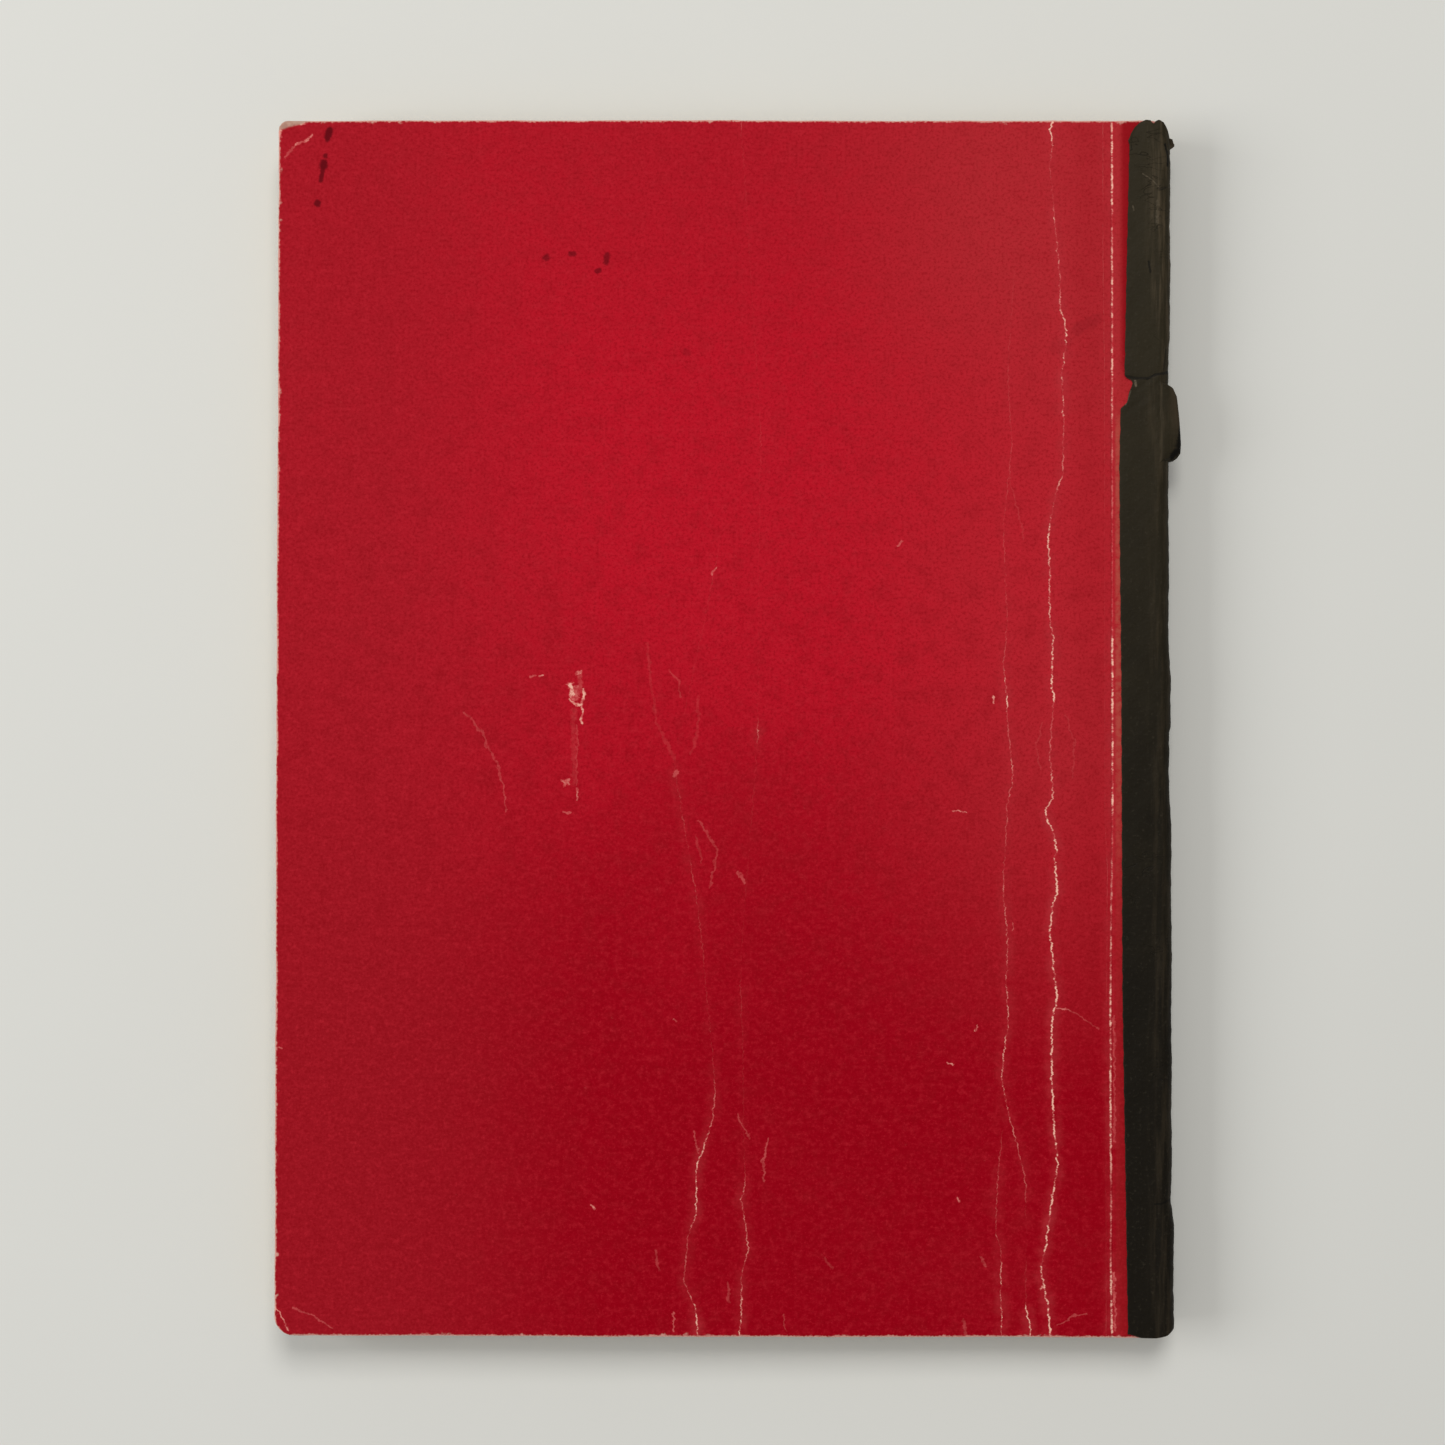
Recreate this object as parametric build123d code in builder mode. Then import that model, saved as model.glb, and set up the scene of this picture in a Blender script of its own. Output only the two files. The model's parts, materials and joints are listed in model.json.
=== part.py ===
"""Side-stapled pocket notebook with soft card covers and a taped spine.

Frame: +X runs to the spine, +Y to the head of the pages, and +Z up through the back cover, so the closed
notebook lies on its front cover. The origin is the centre of the underside of its box. Millimetres.

Every cover and leaf is one sheet that bends along the hinge line beside the spine. Here it is two solids: a
flap that turns, and a bound edge that stays in the binding.
"""

import os

from build123d import *

os.makedirs("parts", exist_ok=True)

# Driving dimensions
cover_height = 139.7  # head to tail
closed_width = 102.7  # fore edge to the outside of the taped spine
card_thickness = 0.40
paper_thickness = 0.09
leaf_pitch = 0.10  # one leaf and the air beside it
stack_count = 4  # stacks of leaves that turn as one
leaves_per_stack = 12
turning_gap = 0.05  # air between two stacks, or a stack and a cover
trim = 0.4  # how far the leaves stop short of the covers' edges
cover_corner = 1.2
leaf_corner = 0.9
hinge_from_spine = 6.5
hinge_slit = 0.10  # width of the gap between a flap and its bound edge
hinge_above_card = 0.12  # the fold's centre, outside the cover's outer face
tape_thickness = 0.18
tape_on_cover = 5.4  # width of tape on each cover
tape_edge_radius = 0.35
wire_width = 0.50
wire_thickness = 0.40
wire_clearance = 0.02
staple_crown = 13.0
staple_clinch = 5.0  # length of each leg that is bent over
staple_from_spine = 3.6
staple_from_end = 22.5  # head or tail to the middle of the nearer staple
tear_below_head = 29.9
tear_width = 0.25
notch_length = 3.4  # along the tape's edge
notch_depth = 1.1
lobe_below_head = 34.9  # middle of the curled lobe
lobe_length = 8.4
lobe_reach = 1.4  # how far it stands out from the spine
lobe_thickness = 1.3

# Places along X
fore_edge = -(closed_width + lobe_reach) / 2
spine = fore_edge + closed_width
hinge = spine - hinge_from_spine
binding_end = spine - tape_thickness
tape_edge = spine - tape_on_cover
staple_line = spine - staple_from_spine
flap_end = hinge - hinge_slit / 2
bound_start = hinge + hinge_slit / 2

# Levels along Z
leaf_count = stack_count * leaves_per_stack
front_cover_level = tape_thickness
first_leaf_level = front_cover_level + card_thickness + turning_gap
leaf_levels = [
    first_leaf_level + number * leaf_pitch + (number // leaves_per_stack) * turning_gap
    for number in range(leaf_count)
]
back_cover_level = leaf_levels[-1] + leaf_pitch + turning_gap
closed_thickness = back_cover_level + card_thickness + tape_thickness
back_hinge_level = back_cover_level + card_thickness + hinge_above_card
front_hinge_level = front_cover_level - hinge_above_card

# Places along Y
head = cover_height / 2
staple_middles = [head - staple_from_end, staple_from_end - head]
leg_places = [
    (staple_line, middle + side * (staple_crown - wire_thickness) / 2)
    for middle in staple_middles
    for side in (-1, 1)
]


def save(part, name):
    """Label a finished piece and write it to its own file."""
    part.label = name
    export_step(part, f"parts/{name}.step")


def flap_outline(inset, corner):
    """The turning part of a cover or leaf, with its two fore-edge corners worn round."""
    with BuildSketch() as outline:
        with Locations((flap_end, 0)):
            Rectangle(
                flap_end - fore_edge - inset,
                cover_height - 2 * inset,
                align=(Align.MAX, Align.CENTER),
            )
        fillet(outline.vertices().group_by(Axis.X)[0], corner)
    return outline.sketch


def bound_outline(inset):
    """The edge of a cover or leaf that the binding holds, pierced for the staples' legs."""
    with BuildSketch() as outline:
        with Locations((bound_start, 0)):
            Rectangle(
                binding_end - bound_start,
                cover_height - 2 * inset,
                align=(Align.MIN, Align.CENTER),
            )
        with Locations(*leg_places):
            Rectangle(
                wire_width + 2 * wire_clearance,
                wire_thickness + 2 * wire_clearance,
                mode=Mode.SUBTRACT,
            )
    return outline.sketch


# Covers: the flaps that open
for cover_name, level in (
    ("front_cover", front_cover_level),
    ("back_cover", back_cover_level),
):
    with BuildPart() as cover:
        with BuildSketch(Plane.XY.offset(level)):
            add(flap_outline(0, cover_corner))
        extrude(amount=card_thickness)
    save(cover.part, cover_name)

# Covers: the edges under the tape. The staples are pressed in flush, so each crown and each clinched leg
# lies in a groove as deep as the card.
groove_width = wire_width + 2 * wire_clearance
with BuildPart() as front_cover_bound_edge:
    with BuildSketch(Plane.XY.offset(front_cover_level)):
        add(bound_outline(0))
        with Locations(*[(staple_line, middle) for middle in staple_middles]):
            Rectangle(groove_width, staple_crown + 2 * wire_clearance, mode=Mode.SUBTRACT)
    extrude(amount=card_thickness)
save(front_cover_bound_edge.part, "front_cover_bound_edge")

clinch_offset = (staple_crown - staple_clinch) / 2
with BuildPart() as back_cover_bound_edge:
    with BuildSketch(Plane.XY.offset(back_cover_level)):
        add(bound_outline(0))
        with Locations(
            *[
                (staple_line, middle + side * clinch_offset)
                for middle in staple_middles
                for side in (-1, 1)
            ]
        ):
            Rectangle(groove_width, staple_clinch + 2 * wire_clearance, mode=Mode.SUBTRACT)
    extrude(amount=card_thickness)
save(back_cover_bound_edge.part, "back_cover_bound_edge")

# Leaves: the pages that turn, numbered from the front cover up
for number, level in enumerate(leaf_levels, start=1):
    with BuildPart() as leaf:
        with BuildSketch(Plane.XY.offset(level)):
            add(flap_outline(trim, leaf_corner))
        extrude(amount=paper_thickness)
    save(leaf.part, f"leaf_{number:02d}")

# Leaves: the same sheets' bound edges, one solid for each leaf
with BuildPart() as leaf_bound_edges:
    with BuildSketch(*[Plane.XY.offset(level) for level in leaf_levels]):
        add(bound_outline(trim))
    extrude(amount=paper_thickness)
save(leaf_bound_edges.part, "leaf_bound_edges")

# Staples: crown against the front cover, legs through the leaves and clinched on the back cover
crown_level = front_cover_level + wire_thickness / 2
clinch_level = back_cover_level + card_thickness - wire_thickness / 2
leg_length = clinch_level - crown_level
for staple_name, middle in zip(("head_staple", "tail_staple"), staple_middles):
    with BuildPart() as staple:
        with BuildSketch(Plane.YZ.offset(staple_line)):
            with Locations((middle, crown_level)):
                Rectangle(staple_crown, wire_thickness)
            for side in (-1, 1):
                with Locations((middle + side * (staple_crown - wire_thickness) / 2, crown_level)):
                    Rectangle(wire_thickness, leg_length, align=(Align.CENTER, Align.MIN))
                with Locations((middle + side * clinch_offset, clinch_level)):
                    Rectangle(staple_clinch, wire_thickness)
        extrude(amount=wire_width / 2, both=True)
    save(staple.part, staple_name)

# Spine tape: one strip wrapped round the spine and onto both covers
with BuildPart() as spine_tape:
    with BuildSketch(Plane.XZ) as wrap:
        with Locations((spine, 0)):
            Rectangle(tape_on_cover, closed_thickness, align=(Align.MAX, Align.MIN))
        fillet(wrap.vertices().group_by(Axis.X)[-1], tape_edge_radius)
        with Locations((binding_end, tape_thickness)):
            Rectangle(
                tape_on_cover,
                closed_thickness - 2 * tape_thickness,
                align=(Align.MAX, Align.MIN),
                mode=Mode.SUBTRACT,
            )
    extrude(amount=cover_height / 2, both=True)

    # It has torn across on the back cover, and a wedge is missing at its edge.
    tear = head - tear_below_head
    with BuildSketch(Plane.XY.offset(closed_thickness)):
        with BuildLine():
            Polyline(
                (tape_edge, tear + tear_width),
                (binding_end - 0.5, tear + tear_width / 2),
                (binding_end - 0.5, tear - tear_width / 2),
                (tape_edge + notch_depth, tear - tear_width / 2),
                (tape_edge, tear - notch_length),
                close=True,
            )
        make_face()
    extrude(amount=-tape_thickness, mode=Mode.SUBTRACT)

    # Below the tear it has come off the spine and curled out in a lobe.
    lobe_middle = head - lobe_below_head
    with BuildSketch(Plane.XY.offset(closed_thickness - tape_edge_radius - lobe_thickness)) as lobe:
        with Locations((spine + lobe_reach, lobe_middle)):
            Rectangle(lobe_reach + tape_thickness / 2, lobe_length, align=(Align.MAX, Align.CENTER))
        fillet(lobe.vertices().group_by(Axis.X)[-1], lobe_reach * 0.8)
    extrude(amount=lobe_thickness)
save(spine_tape.part, "spine_tape")

print(f"closed thickness {closed_thickness:.3f}, hinge x {hinge:.3f}")
print(f"hinge levels {front_hinge_level:.3f} and {back_hinge_level:.3f}")
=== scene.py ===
"""The looks of a taped pocket notebook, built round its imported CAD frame.

Shapes are worked out in millimetres in the part's frame (+X to the spine, +Y to the head, +Z up through
the back cover) and written to meshes in metres. Every mesh keeps its points' places in the closed notebook
as the attribute "rest", and their distance from the sheet's outline as "rim", both in millimetres. The
materials read those, so a pattern stays put on its sheet while the sheet bends.
"""

import json
import math

import bpy
import numpy as np
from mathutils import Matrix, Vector


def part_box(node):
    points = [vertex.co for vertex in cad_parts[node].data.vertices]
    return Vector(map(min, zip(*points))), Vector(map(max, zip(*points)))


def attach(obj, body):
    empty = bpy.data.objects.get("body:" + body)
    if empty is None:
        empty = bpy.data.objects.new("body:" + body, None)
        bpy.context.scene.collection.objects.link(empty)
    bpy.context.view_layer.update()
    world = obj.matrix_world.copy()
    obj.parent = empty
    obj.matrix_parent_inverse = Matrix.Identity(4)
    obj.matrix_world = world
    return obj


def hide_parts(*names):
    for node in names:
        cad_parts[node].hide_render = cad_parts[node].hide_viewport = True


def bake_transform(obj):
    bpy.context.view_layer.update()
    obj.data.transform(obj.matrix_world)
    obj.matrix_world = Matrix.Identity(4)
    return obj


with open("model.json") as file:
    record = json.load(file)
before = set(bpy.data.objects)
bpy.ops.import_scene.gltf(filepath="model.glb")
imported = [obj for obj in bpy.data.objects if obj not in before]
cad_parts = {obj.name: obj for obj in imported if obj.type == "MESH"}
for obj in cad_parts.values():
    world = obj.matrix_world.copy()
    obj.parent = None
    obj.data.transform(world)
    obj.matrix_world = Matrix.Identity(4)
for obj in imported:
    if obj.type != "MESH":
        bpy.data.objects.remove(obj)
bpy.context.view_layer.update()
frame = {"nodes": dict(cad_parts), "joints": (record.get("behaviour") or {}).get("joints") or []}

MM = 0.001
random = np.random.default_rng(5)


# ---------------------------------------------------------------- places in the frame, millimetres

def box_mm(node):
    """A CAD node's lowest and highest corners."""
    low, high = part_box(node)
    return [c / MM for c in low], [c / MM for c in high]


(FORE, TAIL, BACK_UNDER), (_, HEAD, BACK_TOP) = box_mm("back_cover")
(_, _, FRONT_UNDER), (_, _, FRONT_TOP) = box_mm("front_cover")
(_, _, _), (BINDING_END, _, _) = box_mm("back_cover_bound_edge")
(TAPE_EDGE, _, TAPE_BOTTOM), (_, _, TAPE_TOP) = box_mm("spine_tape")
(LEAF_FORE, LEAF_TAIL, _), (_, LEAF_HEAD, _) = box_mm("leaf_01")
LEAF_NAMES = sorted(name for name in frame["nodes"] if name.startswith("leaf_") and name[5:].isdigit())
LEAF_LEVELS = [box_mm(name)[0][2] for name in LEAF_NAMES]
LEAF_THICKNESS = box_mm("leaf_01")[1][2] - box_mm("leaf_01")[0][2]
JOINTS = {joint["name"]: joint for joint in frame["joints"]}
HINGE = JOINTS["back_cover_hinge"]["pos_m"][0] / MM
CARD = BACK_TOP - BACK_UNDER
TAPE = TAPE_TOP - BACK_TOP
SPINE = BINDING_END + TAPE
LEAVES_PER_STACK = 12
STAPLE_LINE, STAPLE_MIDDLE, _ = [(a + b) / 2 for a, b in zip(*box_mm("head_staple"))]

# Where each sheet bends, as distances from the hinge towards the fore edge
COVER_FOLDS = (-0.05, 0.15, 0.30, 0.50)
LEAF_FOLD = 5.0
GUTTER = 1.5  # how far the binding's hold reaches on an outer stack's leaves
OUTER_FOLD = 7.0

ROW_STEP = 0.62  # between the rows of points on the covers and the tape

# The rounded spine
BACK_ROLL = 1.35  # radius of the card's roll-over into the spine, back cover side
FRONT_ROLL = 0.9
HEAD_ROUND = 2.2  # radius in plan of the spine's worn corner at the head
TAIL_ROUND = 1.4


def smooth(t):
    """0 before 0, 1 after 1, and an S between."""
    t = np.clip(t, 0, 1)
    return t * t * (3 - 2 * t)


def near(distance, reach):
    """1 at no distance, 0 at the reach and beyond, and an S between."""
    return smooth(1 - distance / reach)


def hump(distance, reach):
    """1 at no distance, falling away on both sides."""
    return np.exp(-((distance / reach) ** 2))


# ---------------------------------------------------------------- how the closed sheets lie

SWELL = 0.75  # the air between all the sheets together, at the fore edge
gap_share = random.gamma(0.7, 1.0, len(LEAF_NAMES) + 1)
gap_share *= SWELL / gap_share.sum()
gap_period = random.uniform(70, 190, len(gap_share))
gap_phase = random.uniform(0, 2 * math.pi, len(gap_share))


def lift(order, x, y):
    """How far a sheet lies above its CAD level. The front cover is 0, then the leaves, then the back cover.

    The fore edges have sunk to the floor, which the tape's thickness keeps the binding off, and the air
    between old leaves grows away from the binding, more in some places than in others.
    """
    settle = -(FRONT_UNDER - 0.01) * smooth((HINGE - 2 - x) / 16)
    air = 0
    for k in range(order):
        air = air + gap_share[k] * (1 + 0.5 * np.sin(2 * math.pi * y / gap_period[k] + gap_phase[k]))
    return settle + air * smooth((HINGE - 1 - x) / 58)


# ---------------------------------------------------------------- meshes

def closed_mesh(name, top, bottom, rim, materials, patches=None):
    """An object from two grids of points, rows by columns, with walls round the edges.

    materials are those of the walls, the bottom and the top, and patches picks among several for the top.
    """
    rows, columns = top.shape[:2]
    count = rows * columns
    at = np.arange(count).reshape(rows, columns)
    cells = np.stack([at[:-1, :-1], at[:-1, 1:], at[1:, 1:], at[1:, :-1]], -1)
    cells = cells.reshape(-1, 4)
    starts = cells.ravel()
    ends = np.roll(cells, -1, axis=1).ravel()
    alone = ~np.isin(starts * count + ends, ends * count + starts)
    a, b = starts[alone], ends[alone]
    walls = np.stack([b, a, a + count, b + count], -1)
    faces = np.concatenate([cells, walls, cells[:, ::-1] + count])
    over = np.full(len(cells), 2) if patches is None else patches.ravel() + 2
    kinds = np.concatenate([over, np.full(len(walls), 0), np.full(len(cells), 1)])
    points = np.concatenate([top.reshape(-1, 3), bottom.reshape(-1, 3)])
    rest = np.concatenate([top.reshape(-1, 3)] * 2)
    # The underside's pattern is taken 1 mm lower, so that it differs from the top's.
    rest[count:, 2] -= 1.0
    rim = np.concatenate([rim.ravel()] * 2)

    mesh = bpy.data.meshes.new(name)
    mesh.vertices.add(len(points))
    mesh.vertices.foreach_set("co", (points * MM).astype(np.float32).ravel())
    mesh.loops.add(faces.size)
    mesh.loops.foreach_set("vertex_index", faces.astype(np.int32).ravel())
    mesh.polygons.add(len(faces))
    mesh.polygons.foreach_set("loop_start", np.arange(0, faces.size, 4, dtype=np.int32))
    slots = list(dict.fromkeys(materials))
    for material in slots:
        mesh.materials.append(material)
    slot_of_kind = np.array([slots.index(material) for material in materials])
    mesh.polygons.foreach_set("material_index", slot_of_kind[kinds].astype(np.int32))
    mesh.update(calc_edges=True)
    mesh.validate()
    stored_rest = mesh.attributes.new("rest", "FLOAT_VECTOR", "POINT")
    stored_rest.data.foreach_set("vector", rest.astype(np.float32).ravel())
    stored_rim = mesh.attributes.new("rim", "FLOAT", "POINT")
    stored_rim.data.foreach_set("value", rim.astype(np.float32))
    mesh.shade_smooth()
    mesh.set_sharp_from_angle(angle=math.radians(50))
    piece = bpy.data.objects.new(name, mesh)
    bpy.context.scene.collection.objects.link(piece)
    return piece


def spread(low, high, step, close=(0.05, 0.12, 0.3, 0.7)):
    """Places from low to high about a step apart, closer together near both ends."""
    inner_low, inner_high = low + close[-1], high - close[-1]
    middle = np.linspace(inner_low, inner_high, max(2, round((inner_high - inner_low) / step) + 1))
    ends = np.array([0.0, *close[:-1]])
    return np.concatenate([low + ends, middle, (high - ends)[::-1]])


def worn_edge(along, size, seed):
    """A small waviness for an edge that was cut straight and has worn, never outwards."""
    wave = np.zeros_like(along)
    turn = np.random.default_rng(seed)
    for period in (31.0, 13.0, 5.3, 2.1, 1.1):
        wave += np.sin(2 * math.pi * along / period + turn.uniform(0, 6.28)) * period ** 0.25
    return size * (wave / 12 + 0.5).clip(0, 1)


def corner_inset(distance, radius):
    """How far a rounded corner draws an edge in, at a distance along it from where the corner would be."""
    short = np.clip(radius - distance, 0, radius)
    return radius - np.sqrt(np.clip(radius ** 2 - short ** 2, 0, None))


# ---------------------------------------------------------------- creases and marks on the cover

# Each crease in the back cover, from head to tail: (y, x, how worn it is)
MAIN_CRACK = [
    (69.9, 37.4, 0.9), (68.9, 36.8, 0.9), (67.4, 37.2, 0.7), (64.7, 36.8, 0.25), (60.0, 37.3, 0.2),
    (59.2, 37.3, 0.8), (57.0, 37.5, 0.35), (55.2, 37.7, 0.6), (52.0, 38.0, 0.6), (50.0, 38.1, 0.35),
    (49.0, 37.9, 0.8), (46.1, 38.6, 0.6), (44.9, 38.7, 0.9), (43.5, 38.6, 0.9), (41.9, 38.4, 0.6),
    (40.2, 38.2, 0.9), (35.0, 38.4, 0.5), (28.9, 38.3, 0.5), (26.9, 37.5, 0.6), (21.9, 36.6, 0.7),
    (18.1, 36.8, 0.6), (12.3, 36.8, 0.6), (10.4, 37.2, 0.7), (4.6, 37.0, 0.9), (3.3, 37.35, 1.0),
    (2.5, 37.2, 0.15), (-2.9, 36.8, 0.5), (-8.0, 37.2, 0.6), (-9.5, 36.3, 0.6), (-10.5, 36.5, 1.0),
    (-12.1, 37.2, 0.9), (-14.0, 37.6, 0.9), (-14.8, 37.35, 1.0), (-19.0, 37.65, 1.0), (-20.4, 37.1, 1.0),
    (-23.3, 36.8, 1.0), (-28.5, 37.3, 1.0), (-30.7, 37.65, 1.0), (-33.9, 37.0, 1.0), (-40.4, 37.0, 1.0),
    (-46.2, 37.3, 0.9), (-50.1, 37.7, 0.9), (-54.3, 37.0, 0.9), (-59.8, 36.2, 1.0), (-62.1, 35.7, 1.0),
    (-65.9, 36.5, 1.0), (-69.9, 36.9, 1.0),
]
SECOND_CRACK = [
    (56.0, 33.0, 0.0), (50.0, 32.6, 0.06), (40.2, 32.0, 0.14), (32.5, 32.5, 0.16), (28.5, 32.1, 0.22),
    (23.3, 31.5, 0.18), (12.0, 31.9, 0.20), (6.7, 31.5, 0.35), (4.6, 31.8, 0.8), (2.4, 31.9, 0.8),
    (1.5, 31.9, 0.25), (-3.9, 32.4, 0.5), (-5.5, 32.6, 0.5), (-6.8, 32.4, 0.5), (-8.9, 31.9, 0.4),
    (-10.6, 31.9, 0.4), (-15.0, 31.6, 0.2), (-18.9, 31.5, 0.5), (-25.0, 32.0, 0.5), (-29.1, 31.8, 0.5),
    (-34.3, 32.1, 0.6), (-36.6, 31.6, 0.6), (-40.4, 31.3, 0.6), (-44.4, 32.1, 0.5), (-49.6, 33.5, 0.4),
    (-52.0, 34.0, 0.4), (-54.7, 34.0, 0.2), (-58.0, 34.1, 0.0), (-66.0, 34.0, 0.2), (-66.3, 34.0, 1.0),
    (-68.3, 34.5, 0.9), (-69.9, 34.5, 0.9),
]
LOW_BRANCH = [
    (-46.0, 31.4, 0.0), (-50.6, 30.9, 0.5), (-54.7, 30.7, 0.4), (-58.1, 30.6, 0.4), (-59.4, 31.2, 0.4),
    (-64.9, 31.2, 0.7), (-69.9, 31.25, 0.8),
]
FOLD_A = [
    (21.0, -1.0, 0.0), (17.6, -1.8, 0.14), (14.0, -2.4, 0.03), (-3.5, -6.2, 0.03), (-5.4, -6.2, 0.3),
    (-8.4, -5.6, 0.2), (-16.1, -4.3, 0.22), (-18.7, -3.8, 0.3), (-24.2, -3.1, 0.16), (-30.0, -2.6, 0.08),
    (-39.0, -1.7, 0.15), (-41.7, -1.5, 0.4), (-45.4, -1.9, 0.5), (-48.0, -2.8, 0.6),
    (-50.5, -3.65, 0.8), (-55.8, -3.7, 0.7), (-58.3, -4.6, 0.4), (-63.3, -5.1, 0.4), (-65.0, -4.4, 0.55),
    (-66.6, -3.8, 0.85), (-69.9, -3.5, 0.9),
]
FOLD_B = [
    (69.9, 1.3, 0.45), (68.0, 1.4, 0.05), (36.0, 3.5, 0.04), (33.0, 3.6, 0.12), (29.0, 3.5, 0.03),
    (1.0, 3.3, 0.03), (-0.6, 3.4, 0.5), (-3.0, 3.2, 0.06), (-26.0, 1.4, 0.03), (-30.0, 1.4, 0.16),
    (-36.0, 1.6, 0.1), (-45.0, 1.7, 0.05), (-51.5, 1.9, 0.1), (-52.8, 1.9, 0.6), (-54.0, 1.45, 0.6),
    (-57.3, 2.0, 0.45), (-59.9, 2.3, 0.55), (-62.6, 1.5, 0.45), (-65.7, 1.5, 0.6), (-69.9, 1.3, 0.9),
]
SCORE = HINGE - 0.17
SCORE_LINE = [
    (70.0, SCORE, 0.5), (66.8, SCORE, 0.9), (60.3, SCORE, 0.9), (58.9, SCORE, 0.55), (48.8, SCORE, 0.75),
    (46.0, SCORE, 0.6), (40.0, SCORE, 0.75), (36.0, SCORE, 0.6), (30.0, SCORE, 0.4), (12.0, SCORE, 0.3),
    (11.0, SCORE, 0.8), (3.0, SCORE, 0.9), (0.5, SCORE, 0.5), (-1.3, SCORE, 0.9), (-8.9, SCORE, 0.9),
    (-12.0, SCORE, 0.5), (-24.0, SCORE - 0.2, 0.6), (-34.0, SCORE - 0.25, 0.85), (-42.0, SCORE - 0.25, 0.7),
    (-46.0, SCORE - 0.25, 0.9), (-51.0, SCORE - 0.2, 0.55), (-53.0, SCORE - 0.2, 0.35),
    (-54.5, SCORE - 0.2, 0.55), (-60.0, SCORE - 0.25, 0.5), (-64.6, SCORE - 0.2, 0.9),
    (-70.0, SCORE - 0.1, 1.0),
]
INNER_SCORE_LINE = [
    (70.0, 42.95, 0.28), (59.0, 42.95, 0.10), (54.0, 42.95, 0.16), (42.0, 43.1, 0.14), (20.0, 43.1, 0.04),
    (-10.0, 43.1, 0.08), (-16.0, 43.4, 0.16), (-40.0, 43.2, 0.03), (-62.0, 43.2, 0.06), (-70.0, 43.2, 0.2),
]

# Short marks on the back cover: points (x, y), half the width, how worn
SCRATCHES = [
    ([(37.45, -32.2), (39.1, -32.5)], 0.10, 0.6),
    ([(39.1, -32.5), (41.0, -33.5), (42.5, -34.8)], 0.09, 0.25),
    ([(37.7, -68.4), (39.8, -67.4), (41.1, -67.0)], 0.09, 0.35),
    ([(32.2, 28.5), (33.5, 23.8), (33.8, 21.5)], 0.10, 0.13),
    ([(44.15, -33.0), (44.2, -47.5)], 0.13, 0.30),
    ([(44.1, -62.5), (44.25, -69.0)], 0.14, 0.50),
    ([(35.9, 0.4), (35.3, -2.2), (35.7, -4.8)], 0.12, 0.13),
    ([(38.6, 1.3), (39.6, -1.5), (39.4, -5.8)], 0.12, 0.12),
    ([(-30.5, 1.6), (-29.1, 0.4), (-27.1, -3.4), (-26.0, -5.9)], 0.13, 0.23),
    ([(-26.0, -5.9), (-25.7, -7.6), (-25.55, -9.8)], 0.11, 0.32),
    ([(-9.4, 9.5), (-8.9, 4.5), (-8.3, 0.6), (-6.4, -3.6)], 0.20, 0.09),
    ([(-7.0, 6.6), (-5.6, 5.3), (-5.5, 3.6)], 0.13, 0.18),
    ([(-3.5, 3.4), (-3.6, -0.5), (-4.3, -3.0)], 0.18, 0.10),
    ([(-3.6, -10.8), (-2.6, -11.9), (-1.3, -14.2), (-1.7, -16.1), (-2.2, -18.4)], 0.13, 0.22),
    ([(-3.7, -12.6), (-3.2, -15.5)], 0.15, 0.14),
    ([(0.9, -44.2), (2.35, -47.1)], 0.10, 0.28),
    ([(4.6, -47.4), (4.0, -49.6), (4.1, -52.1)], 0.13, 0.42),
    ([(-4.0, -46.3), (-3.4, -49.0)], 0.10, 0.35),
    ([(-6.3, -67.0), (-6.1, -69.3)], 0.09, 0.5),
    ([(6.3, -67.3), (6.6, -69.0)], 0.09, 0.25),
    ([(-6.4, -5.6), (-6.0, -5.0)], 0.20, 0.45),
    ([(-22.7, 5.75), (-22.3, 5.75)], 0.13, 0.55),
    ([(-21.8, 5.65), (-21.3, 6.0)], 0.15, 0.7),
    ([(-1.9, 17.3), (-1.5, 18.3)], 0.13, 0.7),
    ([(19.4, 20.7), (19.9, 21.3)], 0.14, 0.5),
    ([(26.0, -9.6), (27.1, -9.9)], 0.12, 0.8),
    ([(30.4, 3.4), (30.4, 2.8)], 0.12, 0.8),
    ([(32.5, -22.5), (32.5, -23.5)], 0.10, 0.5),
    ([(-15.6, -54.9), (-15.3, -55.3)], 0.17, 0.7),
    ([(-6.3, -33.6), (-5.9, -33.9)], 0.13, 0.6),
    ([(28.3, -34.2), (28.3, -34.9)], 0.12, 0.8),
    ([(25.2, -38.6), (25.7, -38.8)], 0.13, 0.8),
    ([(26.2, -53.9), (26.4, -54.3)], 0.12, 0.6),
    ([(28.9, -60.6), (29.4, -61.8)], 0.16, 0.28),
    ([(26.8, -68.0), (27.2, -69.7)], 0.22, 0.25),
    ([(11.0, -60.9), (11.8, -61.9)], 0.22, 0.14),
    ([(-8.3, -60.2), (-8.0, -62.2)], 0.16, 0.22),
    ([(-0.1, -63.5), (0.1, -65.8)], 0.15, 0.24),
    ([(1.1, -16.8), (1.8, -17.9)], 0.17, 0.35),
    ([(-51.3, 65.7), (-50.0, 66.9)], 0.14, 0.4),
    ([(-50.0, 66.9), (-48.1, 68.1)], 0.15, 0.7),
    ([(-52.2, -66.2), (-51.4, -67.4), (-50.4, -69.2)], 0.11, 0.75),
    ([(-52.0, 69.65), (-49.3, 69.72)], 0.34, 0.95),
    ([(-51.95, 69.5), (-51.9, 68.2)], 0.30, 0.85),
    ([(-49.8, -66.7), (-48.2, -67.2), (-45.4, -68.8)], 0.10, 0.35),
    ([(-52.3, -37.0), (-51.4, -36.9)], 0.12, 0.6),
    ([(36.2, -64.0), (35.8, -64.3)], 0.14, 0.7),
]
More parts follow.
